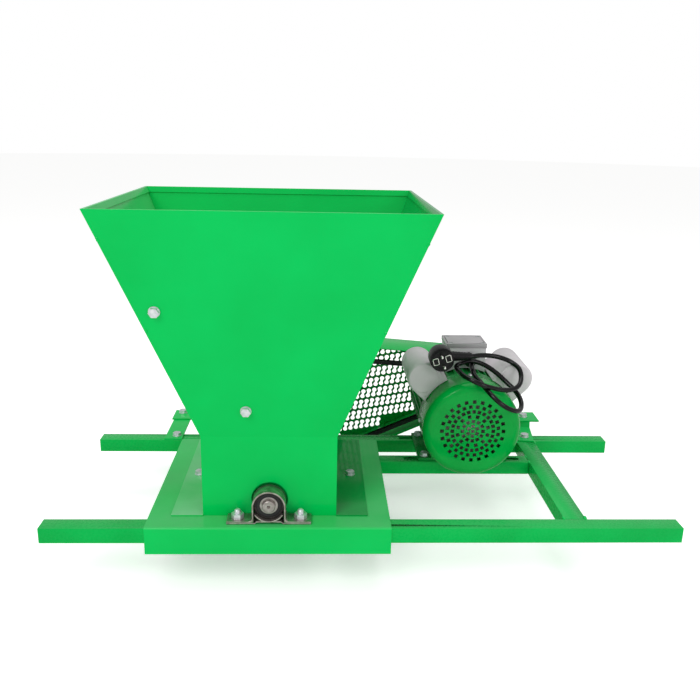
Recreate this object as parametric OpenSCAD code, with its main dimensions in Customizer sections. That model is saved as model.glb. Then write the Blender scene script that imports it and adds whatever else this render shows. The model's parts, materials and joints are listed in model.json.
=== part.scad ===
// Grape crusher: a sheet hopper over a toothed drum, belt driven by an electric motor.
// Origin: middle of the front bar's underside. X right, Y to the rear, Z up. Millimetres.

/* [Carrying frame] */
// length of each carrying bar
bar_len = 1000; // [700:10:1400]
// width of the bar and rail tube
bar_w = 30; // [20:1:50]
// height of the bar and rail tube
bar_h = 25; // [20:1:50]
// wall of the square tube
tube_wall = 2; // [1.5:0.5:4]
// centre distance of the two carrying bars
bar_gap = 350; // [300:5:500]
// width of the cross tubes
cross_w = 35; // [25:1:50]

/* [Tray and hopper] */
// thickness of the folded sheets
sheet = 2; // [1:0.5:4]
// length of the base tray
tray_len = 380; // [340:5:500]
// height of the tray's front skirt
skirt_h = 45; // [20:1:80]
// distance of the drum axis left of the bars' middle
drum_left = 150; // [100:5:250]
// length of the neck
neck_len = 210; // [180:5:260]
// depth of the neck, front to rear
neck_dep = 270; // [200:5:300]
// height of the straight neck
neck_h = 134; // [120:1:200]
// height of the sloping hopper
hopper_h = 349; // [200:5:450]
// length of the hopper's rim
rim_len = 484; // [300:5:600]
// depth of the hopper's rim
rim_dep = 400; // [300:5:500]
// width of the neck's foot flanges
flange_w = 50; // [30:1:70]

/* [Drum and bearings] */
// shaft diameter in the bearings
shaft_d = 20; // [15:1:30]
// outer diameter of the drum's shell
drum_d = 140; // [100:5:160]
// height of the toothed blades
blade_h = 10; // [5:1:16]
// number of toothed blades
blades = 8; // [4:1:12]
// outer diameter of the drum's bearings
bearing_d = 47; // [35:1:62]
// width of the drum's bearings
bearing_w = 14; // [10:1:20]
// width of the bearing straps and bases
block_w = 28; // [20:1:40]

/* [Belt drive] */
// pitch radius of the drum's pulley
big_r = 122; // [90:1:130]
// pitch radius of the motor's pulley
small_r = 38; // [25:1:60]
// width of the belt's back
belt_w = 13; // [10:1:17]
// thickness of the belt
belt_h = 8; // [6:1:11]
// width of the pulley rims
rim_w = 20; // [16:1:30]

/* [Motor] */
// distance of the motor axis right of the bars' middle
motor_right = 194; // [180:2:260]
// height of the motor axis above its feet
motor_h = 90; // [80:1:112]
// radius over the motor's fins
motor_r = 84; // [70:1:88]
// length of the finned frame
frame_len = 150; // [120:5:200]
// radius of the capacitor covers
cap_r = 28.5; // [20:0.5:30]
// length of the capacitor covers
cap_len = 107; // [80:1:140]

/* [Guard] */
// thickness of the guard's sheet
guard_t = 1.5; // [1:0.5:3]
// gap between the big pulley's rim and the guard band
guard_gap = 9.5; // [5:0.5:20]
// depth of the guard band
guard_dep = 85; // [60:1:100]

/* [Cord] */
// diameter of the power cord
cord_d = 8.5; // [6:0.5:9]

/* [Hidden] */
$fn = 64;
fit = 0.02;          // radial gap of parts seated on each other
run = 0.05;          // radial gap of running parts
air = 0.4;           // gap between the rotor and the stator
hole_gap = 0.3;      // radial gap of a bolt in its hole
big = 600;           // longer than any sheet
lap = 0.1;           // straight runs of a loop reach this far into its arcs

drum_x = -drum_left;
tray_top = bar_h + sheet;
hop_y = bar_gap / 2 - 17;             // middle of the neck, front to rear
bend_z = tray_top + neck_h;
rim_z = bend_z + hopper_h;
lean_side = atan((rim_len - neck_len) / 2 / hopper_h);
lean_face = atan((rim_dep - neck_dep) / 2 / hopper_h);
hem_h = 10;
hem_t = 2;

strip_t = 2.5;
seat_rise = 3;
strap_t = 2.5;
shaft_z = tray_top + strip_t + seat_rise + bearing_d / 2;
block_half = 65.5;
stud_x = 49;
stud_d = 10;
block_off = neck_dep / 2 + 1.5 + block_w / 2;   // bearing centre from the neck's middle
block_y = [hop_y - block_off, hop_y + block_off];
collar_d = shaft_d + 5;
seal_t = 1;

belt_y = bar_gap + 66;
groove_a = 19;
back_up = 3;                           // belt back above the pitch line
belt_gap = 0.4;
wheel_lip = 1.5;
web_t = 8;
hub_len = 40;
hub_r = 22;
shaft_end = belt_y + hub_len / 2 + 2;

motor_x = motor_right;
motor_z = bar_h + motor_h;
frame_y = bar_gap - 118;
frame_end = frame_y + frame_len;
frame_bore = motor_r - 6;
fin_root = motor_r - 4;
shield_r = motor_r + 2;
core_len = 90;
core_y = frame_y + (frame_len - core_len) / 2;
rotor_r = 45;
small_bore = 24;
foot_x = [-70, 70];                    // foot bolts from the motor axis
foot_y = [bar_gap - 100, bar_gap];
foot_t = 6;
foot_w = 24;
slot_w = 10;
slot_len = 76;
nut_room = 19;                         // width of the holes the nuts go in by
cap_x = 83;
cap_rise = sqrt(pow(shield_r + cap_r + 0.3, 2) - cap_x * cap_x);
cap_y = frame_y - 19;
cover_t = 1.5;

box_y = frame_y + 32;
box_w = 72;
box_dep = 60;
box_low = motor_r - 9;
box_floor = motor_r + 8;
box_top = motor_r + 38;
lid_t = 8;
gland = [motor_x + 5, box_y, motor_z + box_floor + 10];
gland_len = 26;

guard_y = belt_y - 16;
guard_end = guard_y + guard_dep;
big_out = big_r + back_up + wheel_lip;
guard_c1 = [drum_x, shaft_z + 8];
guard_r1 = big_out + guard_gap + 11;
guard_c2 = [motor_x, motor_z + 9];
guard_r2 = small_r + back_up + wheel_lip + guard_gap + 8;

strap_lx = -358;
strap_w = 34;
plate_t = 3;
left_stud = [-353, bar_gap];
left_ear_stud = [-361, guard_end - 16];
right_strap = [337.5, bar_gap - 19];
right_turn = 8;
right_rise = 10;
right_step = belt_y - 12;
right_stud = [339, bar_gap + 1];
right_ear_stud = [355, belt_y + 14];

cord_r = cord_d / 2;
plug = [138.4, 190, 235.8];            // middle of the plug's face
plug_r = 21;
plug_len = 34;
pin_r = 2.4;
pin_apart = 19;                        // centre distance of the plug's pins
pin_turn = 106;                        // the pins' line, turned from level
relief = [161, 207, 238];              // where the strain relief starts
relief_len = 31;
cord_route = [
  [166, 207, 238], [180, 207, 238], [192, 207, 238], [210, 214, 238],
  [229, 219, 236], [248, 220, 232], [265, 214, 226], [277, 201, 217],
  [278, 188, 204], [270, 173, 195], [254, 162, 192], [237, 153, 195],
  [220, 144, 201], [203, 139, 207], [185, 143, 214], [171, 156, 219],
  [164, 174, 223], [164, 193, 224], [174, 210, 224], [192, 219, 226],
  [211, 220, 222], [228, 216, 214], [243, 208, 204], [256, 199, 193],
  [268, 187, 183], [275, 172, 172], [273, 154, 164], [264, 137, 163],
  [249, 126, 169], [232, 123, 179], [218, 130, 190], [208, 145, 199],
  [202, 163, 205], [196, 181, 209], [194, 199, 215], [196, 219, 218],
  [199, 238, 217], [199, 250, 217], [199, 264, 217]];

// ---- helpers ----
// a drawing in X and Z made solid from y0 to y1
module y_plate(y0, y1) translate([0, y1, 0]) rotate([90, 0, 0]) linear_extrude(y1 - y0) children();
// a drawing in Y and Z made solid from x0 to x1
module x_plate(x0, x1) translate([x0, 0, 0]) rotate([90, 0, 90]) linear_extrude(x1 - x0) children();
module y_rod(x, z, y0, y1, r) translate([x, y0, z]) rotate([-90, 0, 0]) cylinder(r = r, h = y1 - y0);
module y_tube(x, z, y0, y1, ro, ri) difference() {
  y_rod(x, z, y0, y1, ro);
  y_rod(x, z, y0 - 1, y1 + 1, ri);
}
module block(x0, x1, y0, y1, z0, z1) translate([x0, y0, z0]) cube([x1 - x0, y1 - y0, z1 - z0]);
module hex(d, h) cylinder(r = d * 0.85 / cos(30), h = h, $fn = 6);
module both_ends(c) {
  children();
  translate([0, 2 * c, 0]) mirror([0, 1, 0]) children();
}
// bolt with its head on z = 0, a washer under head and nut, nut below the grip
module bolt(d, grip, tail) {
  wash = d * 0.18;
  cylinder(r = d * 1.05, h = wash);
  translate([0, 0, wash]) hex(d, d * 0.65);
  translate([0, 0, -grip - wash - d * 0.8 - tail])
    cylinder(r = d / 2, h = grip + d * 0.8 + tail + wash * 2);
  translate([0, 0, -grip - wash]) cylinder(r = d * 1.05, h = wash);
  translate([0, 0, -grip - wash - d * 0.8]) hex(d, d * 0.8);
}
// rectangular tube between two corners, hollow along X or Y
module tube_x(x0, x1, y0, y1) difference() {
  block(x0, x1, y0, y1, 0, bar_h);
  block(x0 - 1, x1 + 1, y0 + tube_wall, y1 - tube_wall, tube_wall, bar_h - tube_wall);
}
module tube_y(x0, x1, y0, y1) difference() {
  block(x0, x1, y0, y1, 0, bar_h);
  block(x0 + tube_wall, x1 - tube_wall, y0 - 1, y1 + 1, tube_wall, bar_h - tube_wall);
}
module drill(x, y, d) translate([x, y, -10]) cylinder(r = d / 2 + hole_gap, h = 100);
// a round-ended slot of width w between two heights
module long_hole(x, y, w, z0, z1) {
  reach = (slot_len - slot_w) / 2;
  block(x - reach, x + reach, y - w / 2, y + w / 2, z0, z1);
  for (s = [-1, 1]) translate([x + s * reach, y, z0]) cylinder(r = w / 2, h = z1 - z0);
}
// slot in the tube's top wall and a wider one below it, where the nut goes in
module slot(x, y) {
  long_hole(x, y, slot_w, bar_h - tube_wall - 1, bar_h + 1);
  long_hole(x, y, nut_room, -1, tube_wall + 1);
}
// bolt hole in the tube's top wall with its nut hole below
module top_hole(x, y, d) translate([x, y, 0]) {
  translate([0, 0, bar_h - tube_wall - 1]) cylinder(r = d / 2 + hole_gap, h = tube_wall + 2);
  translate([0, 0, -1]) cylinder(r = nut_room / 2, h = tube_wall + 2);
}

// ---- frame ----
module front_bar() color("green") difference() {
  tube_x(-bar_len / 2, bar_len / 2, -bar_w / 2, bar_w / 2);
  for (s = [-1, 1]) translate([drum_x + s * stud_x, block_y[0], bar_h - 5])
    cylinder(r = stud_d / 2 + 0.25, h = 10);
}
module rear_bar() color("green") difference() {
  tube_x(-bar_len / 2, bar_len / 2, bar_gap - bar_w / 2, bar_gap + bar_w / 2);
  for (x = foot_x) slot(motor_x + x, foot_y[1]);
  top_hole(left_stud[0], left_stud[1], 8);
  top_hole(right_stud[0], right_stud[1], 8);
}
cross_out = motor_x + 125.5;
cross_in = 8;
module cross_tube_outer() color("green")
  tube_y(cross_out, cross_out + cross_w, bar_w / 2, bar_gap - bar_w / 2);
tray_x1 = cross_in + 30 + sheet;
tray_x0 = tray_x1 - tray_len;
module cross_tube_inner() color("green")
  tube_y(cross_in, tray_x1 - sheet, bar_w / 2, bar_gap - bar_w / 2);
module motor_rail() color("green") difference() {
  tube_x(tray_x1, cross_out, foot_y[0] - bar_w / 2, foot_y[0] + bar_w / 2);
  for (x = foot_x) slot(motor_x + x, foot_y[0]);
}

// ---- tray ----
tray_y0 = -bar_w / 2 - sheet;
tray_y1 = bar_gap - bar_w / 2;
bend_r = 3.5;
module base_tray() color("limegreen") difference() {
  union() {
    x_plate(tray_x0, tray_x1) {
      difference() {
        union() {
          translate([tray_y0 + bend_r, tray_top - bend_r]) circle(bend_r);
          translate([tray_y0 + bend_r, bar_h]) square([tray_y1 - tray_y0 - bend_r, sheet]);
          translate([tray_y0, tray_top - skirt_h]) square([sheet, skirt_h - bend_r]);
        }
        translate([-bar_w / 2, bar_h - skirt_h]) square([bar_w, skirt_h]);
      }
    }
    for (x = [tray_x0, tray_x1 - sheet])
      block(x, x + sheet, bar_w / 2, tray_y1, tray_top - skirt_h, bar_h + 1);
  }
  block(drum_x - neck_len / 2 + 5, drum_x + neck_len / 2 - 5, hop_y - neck_dep / 2 + 5,
    hop_y + neck_dep / 2 - 5, 0, big);
  for (s = [-1, 1], y = block_y) drill(drum_x + s * stud_x, y, stud_d);
  for (s = [-1, 1]) drill(drum_x + s * flange_bolt_x, flange_bolt_y, 8);
}

// ---- hopper ----
flange_bolt_x = neck_len / 2 + flange_w / 2 + 2;
flange_bolt_y = hop_y + 14;
// half width of a wall's outer and inner face at height z
function wall_out(z, neck, lean) = neck / 2 + max(0, z - bend_z) * tan(lean);
function wall_in(z, neck, lean) = wall_out(z, neck, lean) - (z > bend_z ? sheet / cos(lean) : sheet);
// section of one wall sheet, standing at the negative side of its middle
module wall_section(neck, lean) {
  knee = bend_z + sheet * tan(lean / 2);
  hem_z = rim_z - hem_h;
  hem = hem_t / cos(lean);
  polygon([
    [-neck / 2, tray_top], [-neck / 2, bend_z], [-wall_out(rim_z, neck, lean), rim_z],
    [-wall_in(rim_z, neck, lean) + hem, rim_z], [-wall_in(hem_z, neck, lean) + hem, hem_z],
    [-wall_in(hem_z, neck, lean), hem_z], [-neck / 2 + sheet, knee], [-neck / 2 + sheet, tray_top]]);
}
// the room between two opposite wall sheets
module room_outline(neck, lean) {
  knee = bend_z + sheet * tan(lean / 2);
  hem_z = rim_z - hem_h;
  hem = hem_t / cos(lean);
  half = [
    [neck / 2 - sheet, tray_top], [neck / 2 - sheet, knee], [wall_in(hem_z, neck, lean), hem_z],
    [wall_in(hem_z, neck, lean) - hem, hem_z], [wall_in(rim_z, neck, lean) - hem, rim_z]];
  n = len(half);
  polygon(concat(half, [for (i = [1:n]) [-half[n - i][0], half[n - i][1]]]));
}
module silhouette() polygon([
  [-neck_len / 2, tray_top], [neck_len / 2, tray_top], [neck_len / 2, bend_z],
  [rim_len / 2, rim_z], [-rim_len / 2, rim_z], [-neck_len / 2, bend_z]]);
module front_sheet() difference() {
  intersection() {
    y_plate(-big, hop_y) translate([drum_x, 0]) silhouette();
    x_plate(-big, big) translate([hop_y, 0]) wall_section(neck_dep, lean_face);
  }
  y_rod(drum_x, shaft_z, -big, hop_y, shaft_d / 2 + 18.5);
  at_baffle_bolts() translate([0, 0, -20]) cylinder(r = 4 + hole_gap, h = 40);
}
module rear_place() translate([0, 2 * hop_y, 0]) mirror([0, 1, 0]) children();
module side_sheet() difference() {
  union() {
    intersection() {
      y_plate(-big, big) translate([drum_x, 0]) wall_section(neck_len, lean_side);
      x_plate(-big, drum_x) translate([hop_y, 0]) room_outline(neck_dep, lean_face);
    }
    block(drum_x - neck_len / 2 - flange_w, drum_x - neck_len / 2, hop_y - neck_dep / 2 - 2,
      tray_y1 - 5, tray_top, tray_top + sheet);
  }
  drill(drum_x - flange_bolt_x, flange_bolt_y, 8);
}
module hopper_front_panel() color("limegreen") front_sheet();
module hopper_rear_panel() color("limegreen") rear_place() front_sheet();
module hopper_left_panel() color("limegreen") side_sheet();
module hopper_right_panel() color("limegreen")
  translate([2 * drum_x, 0, 0]) mirror([1, 0, 0]) side_sheet();
module flange_bolts() color("silver") for (s = [-1, 1])
  translate([drum_x + s * flange_bolt_x, flange_bolt_y, tray_top + sheet]) bolt(8, 2 * sheet, 3);

// ---- baffle: lies on two bolts in each face sheet, falling to the right ----
bolt_hi = [drum_x - 157, bend_z + 0.585 * hopper_h];
bolt_lo = [drum_x - 34, bend_z + 0.129 * hopper_h];
baffle_run = norm(bolt_lo - bolt_hi);
baffle_fall = atan2(bolt_hi[1] - bolt_lo[1], bolt_lo[0] - bolt_hi[0]);
baffle_up = 12;
baffle_top = 70;
baffle_low = 40;
module on_baffle() translate([bolt_hi[0], 0, bolt_hi[1]]) rotate([0, baffle_fall, 0]) children();
module at_baffle_bolts() for (b = [bolt_hi, bolt_lo])
  translate([b[0], hop_y - wall_out(b[1], neck_dep, lean_face), b[1]])
    rotate([90 + lean_face, 0, 0]) children();
module wall_strip(t) {
  lo = bend_z + 5;
  hi = rim_z - hem_h - 5;
  polygon([[-wall_in(lo, neck_dep, lean_face), lo], [-wall_in(hi, neck_dep, lean_face), hi],
    [-wall_in(hi, neck_dep, lean_face) + t, hi], [-wall_in(lo, neck_dep, lean_face) + t, lo]]);
}
module feed_baffle() color("limegreen") {
  edge = 1.03;
  lo = bend_z + 5;
  hi = rim_z - hem_h - 5;
  half = [wall_in(lo, neck_dep, lean_face) - edge, wall_in(hi, neck_dep, lean_face) - edge];
  intersection() {
    on_baffle() block(-baffle_top, baffle_run + baffle_low, -big, big, baffle_up, baffle_up + sheet);
    x_plate(-big, big) translate([hop_y, 0])
      polygon([[-half[0], lo], [half[0], lo], [half[1], hi], [-half[1], hi]]);
  }
  both_ends(hop_y) difference() {
    intersection() {
      on_baffle() for (x = [0, baffle_run])
        block(x - 20, x + 20, -big, big, -14, baffle_up + sheet);
      x_plate(-big, big) translate([hop_y, 0]) wall_strip(sheet / cos(lean_face));
    }
    at_baffle_bolts() translate([0, 0, -20]) cylinder(r = 4 + hole_gap, h = 40);
  }
}
module baffle_bolts() color("silver") both_ends(hop_y) at_baffle_bolts() bolt(8, 2 * sheet, 2);

// ---- bearings ----
ball_r = 3.9;
module at_blocks() for (y = block_y) translate([drum_x, y, 0]) children();
module stud_holes() for (s = [-1, 1]) drill(s * stud_x, 0, stud_d);
strap_r = bearing_d / 2 + fit;
strap_foot = tray_top + strip_t;
seat_half = bearing_d / 2 - 4.5;       // half length of the raised seat
lip_drop = 13;                         // top of the seat's lips below the shaft's axis
foot_curve = 6;                        // radius where the strap turns out to its feet
// pressed strip with a raised seat whose lips cradle the bearing
module base_shape() {
  low = tray_top + seat_rise;
  polygon([
    [-block_half, tray_top], [-seat_half - 3, tray_top], [-seat_half, low], [seat_half, low],
    [seat_half + 3, tray_top], [block_half, tray_top], [block_half, strap_foot],
    [seat_half + 3, strap_foot], [seat_half, low + strip_t], [-seat_half, low + strip_t],
    [-seat_half - 3, strap_foot], [-block_half, strap_foot]]);
  intersection() {
    translate([0, shaft_z]) difference() {
      circle(strap_r + strip_t);
      circle(strap_r);
    }
    translate([-block_half, tray_top]) square([2 * block_half, shaft_z - lip_drop - tray_top]);
  }
}
module bearing_bases() color("silver") at_blocks() difference() {
  y_plate(-block_w / 2, block_w / 2) base_shape();
  stud_holes();
}
// strap bent over the bearing, turning out to a flat foot on each side
module strap_shape() difference() {
  side_x = strap_r + strap_t;
  foot_z = strap_foot + strap_t;
  union() {
    translate([0, shaft_z]) circle(side_x);
    translate([-side_x, strap_foot]) square([2 * side_x, shaft_z - strap_foot]);
    translate([-block_half, strap_foot]) square([2 * block_half, strap_t]);
    for (s = [-1, 1]) difference() {
      translate([s * side_x - (s < 0 ? foot_curve : 0), strap_foot])
        square([foot_curve, strap_t + foot_curve]);
      translate([s * (side_x + foot_curve), foot_z + foot_curve]) circle(foot_curve);
    }
  }
  translate([0, shaft_z]) circle(strap_r);
  translate([-strap_r, 0]) square([2 * strap_r, shaft_z]);
}
module bearing_straps() color("silver") at_blocks() difference() {
  y_plate(-block_w / 2, block_w / 2) strap_shape();
  stud_holes();
}
// a ring of a ball bearing: bore r0, outside r1, ball circle rp
module race(y, r0, r1, rp, w) translate([0, y + w / 2, 0]) rotate([90, 0, 0]) difference() {
  rotate_extrude() translate([r0, 0]) square([r1 - r0, w]);
  translate([0, 0, w / 2]) rotate_extrude() translate([rp, 0]) circle(ball_r + run);
}
module ball_ring(y, rp, n) for (i = [0:n - 1])
  translate([rp * cos(i * 360 / n), y, rp * sin(i * 360 / n)]) sphere(ball_r);
// outer ring, inner ring and balls for a bearing of bore b, outside d, width w, centred on y
function ball_circle(b, d) = (b + d) / 4;
module outer_ring(y, b, d, w) race(y, (b + d) / 4 + 2.8, d / 2, ball_circle(b, d), w);
module inner_ring(y, b, d, w) race(y, b / 2 + fit, (b + d) / 4 - 2.8, ball_circle(b, d), w);

module drum_bearing_outer_rings() color("silver") for (y = block_y)
  translate([drum_x, 0, shaft_z]) outer_ring(y, shaft_d, bearing_d, bearing_w);
module drum_bearing_inner_rings() color("silver") for (y = block_y) translate([drum_x, 0, shaft_z]) {
  inner_ring(y, shaft_d, bearing_d, bearing_w);
  ball_ring(y, ball_circle(shaft_d, bearing_d), 8);
}
module bearing_seals() color("black") for (y = block_y, s = [-1, 1])
  translate([0, y + s * (bearing_w / 2 - seal_t), 0])
    y_tube(drum_x, shaft_z, -seal_t / 2, seal_t / 2,
      ball_circle(shaft_d, bearing_d) + 2.8 - fit, ball_circle(shaft_d, bearing_d) - 2.7);
// stud with a head inside the bar or under the tray, hex nut and domed end on top
module pillow_block_bolts() color("silver") {
  nut_z = strap_foot + strap_t;
  nut_h = 8;
  dome = 7;
  low = [bar_h - tube_wall, bar_h];
  head_r = [stud_d / 2 + 0.4, stud_d / 2 + 3];
  for (i = [0, 1], s = [-1, 1]) translate([drum_x + s * stud_x, block_y[i], 0]) {
    translate([0, 0, nut_z]) hex(stud_d, nut_h);
    translate([0, 0, low[i] - 4]) cylinder(r = stud_d / 2, h = nut_z + nut_h + dome - 2 - low[i] + 4);
    translate([0, 0, nut_z + nut_h + dome - 2]) cylinder(r1 = stud_d / 2, r2 = stud_d / 2 - 2, h = 2);
    translate([0, 0, low[i] - 4]) cylinder(r = head_r[i], h = 4);
  }
}

// ---- drum ----
drum_y0 = hop_y - neck_dep / 2 + sheet + 9;
drum_y1 = hop_y + neck_dep / 2 - sheet - 9;
shell_t = 3;
disc_t = 5;
key_w = 6;
key_top = shaft_z + shaft_d / 2 + 2.5;
module keyway(x, z, w, y0, y1, extra) block(x - w / 2 - extra, x + w / 2 + extra, y0 - extra, y1 + extra,
  z, z + 20);
module drum_shaft() color("silver") difference() {
  union() {
    y_rod(drum_x, shaft_z, block_y[0] - 12, shaft_end - 1, shaft_d / 2);
    translate([drum_x, shaft_end - 1, shaft_z]) rotate([-90, 0, 0])
      cylinder(r1 = shaft_d / 2, r2 = shaft_d / 2 - 1, h = 1);
    translate([drum_x, block_y[0] - 13, shaft_z]) rotate([-90, 0, 0])
      cylinder(r1 = shaft_d / 2 - 1, r2 = shaft_d / 2, h = 1);
    y_rod(drum_x, shaft_z, block_y[0] + bearing_w / 2, block_y[1] - bearing_w / 2, collar_d / 2);
  }
  translate([drum_x, block_y[0] - 14, shaft_z]) rotate([-90, 0, 0]) cylinder(r1 = 3.5, r2 = 0.5, h = 5);
  keyway(drum_x, key_top - key_w, key_w, belt_y - 16, belt_y + 16, fit);
}
module pulley_key() color("silver")
  block(drum_x - key_w / 2, drum_x + key_w / 2, belt_y - 16, belt_y + 16, key_top - key_w, key_top);
module drum_shell() color("limegreen")
  y_tube(drum_x, shaft_z, drum_y0, drum_y1, drum_d / 2, drum_d / 2 - shell_t);
module drum_end_discs() color("limegreen") for (y = [drum_y0, drum_y1 - disc_t])
  y_tube(drum_x, shaft_z, y, y + disc_t, drum_d / 2 - shell_t - fit, collar_d / 2 + fit);
module drum_blades() color("silver") {
  n = 8;
  pitch = (drum_y1 - drum_y0) / n;
  for (i = [0:blades - 1]) translate([drum_x, 0, shaft_z]) rotate([0, 22.5 + i * 360 / blades, 0])
    x_plate(-2, 2) polygon(concat(
      [[drum_y0, drum_d / 2 + 0.05]],
      [for (k = [0:n - 1]) each [
        [drum_y0 + k * pitch, drum_d / 2 + blade_h], [drum_y0 + (k + 0.6) * pitch, drum_d / 2 + blade_h],
        [drum_y0 + (k + 0.7) * pitch, drum_d / 2 + 4], [drum_y0 + (k + 0.9) * pitch, drum_d / 2 + 4]]],
      [[drum_y1, drum_d / 2 + 4], [drum_y1, drum_d / 2 + 0.05]]));
}

// ---- pulleys and belt ----
// half width of the groove at radius r for a pulley of pitch radius rp
function groove_half(r, rp) = belt_w / 2 + belt_gap + (r - rp - back_up) * tan(groove_a);
module groove(rp) {
  top = rp + back_up + wheel_lip + 0.5;
  low = rp + back_up - belt_h - 4;
  polygon([[low, -groove_half(low, rp)], [top, -groove_half(top, rp)],
    [top, groove_half(top, rp)], [low, groove_half(low, rp)]]);
}
module at_wheel(x, z) translate([x, belt_y, z]) rotate([90, 0, 0]) children();
module big_pulley() color("dimgray") difference() {
  at_wheel(drum_x, shaft_z) difference() {
    rotate_extrude() difference() {
      union() {
        translate([big_r - 16, -rim_w / 2]) square([16 + back_up + wheel_lip, rim_w]);
        translate([shaft_d / 2 + fit, -web_t / 2]) square([big_r - 12 - shaft_d / 2, web_t]);
        translate([shaft_d / 2 + fit, -hub_len / 2]) square([hub_r - shaft_d / 2, hub_len]);
      }
      groove(big_r);
    }
    for (i = [0:4]) rotate([0, 0, i * 72]) translate([(hub_r + big_r - 16) / 2, 0, -web_t])
      cylinder(r = 21, h = 2 * web_t);
  }
  block(drum_x - key_w / 2 - fit, drum_x + key_w / 2 + fit, belt_y - hub_len / 2 - 1,
    belt_y + hub_len / 2 + 1, shaft_z, key_top + 0.1);
}
motor_key_w = 8;
motor_key_top = motor_z + small_bore / 2 + 3;
module small_pulley() color("dimgray") difference() {
  at_wheel(motor_x, motor_z) rotate_extrude() difference() {
    union() {
      translate([small_bore / 2 + fit, -rim_w / 2])
        square([small_r + back_up + wheel_lip - small_bore / 2, rim_w]);
      translate([small_bore / 2 + fit, -rim_w / 2 - 10]) square([11, 11]);
    }
    groove(small_r);
  }
  block(motor_x - motor_key_w / 2 - fit, motor_x + motor_key_w / 2 + fit, belt_y - rim_w,
    belt_y + rim_w + 1, motor_z, motor_key_top + 0.1);
}
module motor_key() color("silver") block(motor_x - motor_key_w / 2, motor_x + motor_key_w / 2,
  belt_y - 9, belt_y + 27, motor_key_top - 7, motor_key_top);

// a section swept round two circles and the tangents between them: x outwards, y along the axis
module loop(c1, r1, c2, r2, y) {
  gap = norm(c2 - c1);
  turn = atan2(c2[1] - c1[1], c2[0] - c1[0]);
  open = acos((r1 - r2) / gap);
  up = turn + open;
  down = turn - open;
  run_len = gap * sin(open);
  translate([c1[0], y, c1[1]]) rotate([90, 0, 0]) rotate([0, 0, up])
    rotate_extrude(angle = 360 - 2 * open) translate([r1, 0]) children();
  translate([c2[0], y, c2[1]]) rotate([90, 0, 0]) rotate([0, 0, down])
    rotate_extrude(angle = 2 * open) translate([r2, 0]) children();
  translate([c1[0] + r1 * cos(up), y, c1[1] + r1 * sin(up)]) rotate([0, -up, 0])
    rotate([180, 0, 0]) translate([0, 0, -lap]) linear_extrude(run_len + 2 * lap) children();
  translate([c2[0] + r2 * cos(down), y, c2[1] + r2 * sin(down)]) rotate([0, -down, 0])
    rotate([180, 0, 0]) translate([0, 0, -lap]) linear_extrude(run_len + 2 * lap) children();
}
// the filled outline of the same loop
module loop_sheet(c1, r1, c2, r2, y0, t) {
  turn = atan2(c2[1] - c1[1], c2[0] - c1[0]);
  open = acos((r1 - r2) / norm(c2 - c1));
  up = turn + open;
  down = turn - open;
  translate([c1[0], y0 + t, c1[1]]) rotate([90, 0, 0]) rotate([0, 0, up])
    rotate_extrude(angle = 360 - 2 * open) square([r1, t]);
  translate([c2[0], y0 + t, c2[1]]) rotate([90, 0, 0]) rotate([0, 0, down])
    rotate_extrude(angle = 2 * open) square([r2, t]);
  y_plate(y0, y0 + t) polygon([c1, c1 + r1 * [cos(up), sin(up)], c2 + r2 * [cos(up), sin(up)],
    c2, c2 + r2 * [cos(down), sin(down)], c1 + r1 * [cos(down), sin(down)]]);
}
// the loop's outline as points in X and Z
function loop_points(c1, r1, c2, r2, n = 48) =
  let (turn = atan2(c2[1] - c1[1], c2[0] - c1[0]), open = acos((r1 - r2) / norm(c2 - c1)))
  concat(
    [for (i = [0:n]) let (a = turn + open + i * (360 - 2 * open) / n) c1 + r1 * [cos(a), sin(a)]],
    [for (i = [0:n]) let (a = turn - open + i * 2 * open / n) c2 + r2 * [cos(a), sin(a)]]);
belt_low = belt_w / 2 - belt_h * tan(groove_a);
module v_belt() color("black")
  loop([drum_x, shaft_z], big_r + back_up, [motor_x, motor_z], small_r + back_up, belt_y)
  polygon([[-belt_h, -belt_low], [0, -belt_w / 2], [0, belt_w / 2], [-belt_h, belt_low]]);

// ---- guard ----
module guard_band() color("limegreen") y_plate(guard_y, guard_end - guard_t) difference() {
  polygon(loop_points(guard_c1, guard_r1, guard_c2, guard_r2));
  polygon(loop_points(guard_c1, guard_r1 - guard_t, guard_c2, guard_r2 - guard_t));
}
module guard_back() color("limegreen")
  loop_sheet(guard_c1, guard_r1, guard_c2, guard_r2, guard_end - guard_t, guard_t);
module guard_strap_left() color("limegreen") difference() {
  block(strap_lx - strap_w / 2, strap_lx + strap_w / 2, bar_gap - bar_w / 2, guard_end + 5,
    bar_h, bar_h + plate_t);
  drill(left_stud[0], left_stud[1], 8);
  drill(left_ear_stud[0], left_ear_stud[1], 8);
}
ear_l = guard_c1[0] - guard_r1;
module guard_ear_left() color("limegreen") difference() {
  union() {
    block(strap_lx - 20, ear_l, guard_end - 50, guard_end, bar_h + plate_t, bar_h + 2 * plate_t);
    block(ear_l - plate_t, ear_l, guard_end - 50, guard_end, bar_h + plate_t, guard_c1[1] + 35);
  }
  drill(left_ear_stud[0], left_ear_stud[1], 8);
}
module right_place() translate([right_strap[0], right_strap[1], 0])
  rotate([0, 0, -right_turn]) children();
module guard_strap_right() color("limegreen") difference() {
  flat = right_step - right_strap[1];
  right_place() x_plate(-15.5, 15.5) polygon([
    [0, bar_h], [flat + 4, bar_h], [flat + 8, bar_h + right_rise], [flat + 60, bar_h + right_rise],
    [flat + 60, bar_h + right_rise + plate_t], [flat + 5.5, bar_h + right_rise + plate_t],
    [flat + 1.5, bar_h + plate_t], [0, bar_h + plate_t]]);
  drill(right_stud[0], right_stud[1], 8);
  drill(right_ear_stud[0], right_ear_stud[1], 8);
}
ear_r = guard_c2[0] + guard_r2;
ear_z = bar_h + right_rise + plate_t;
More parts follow.
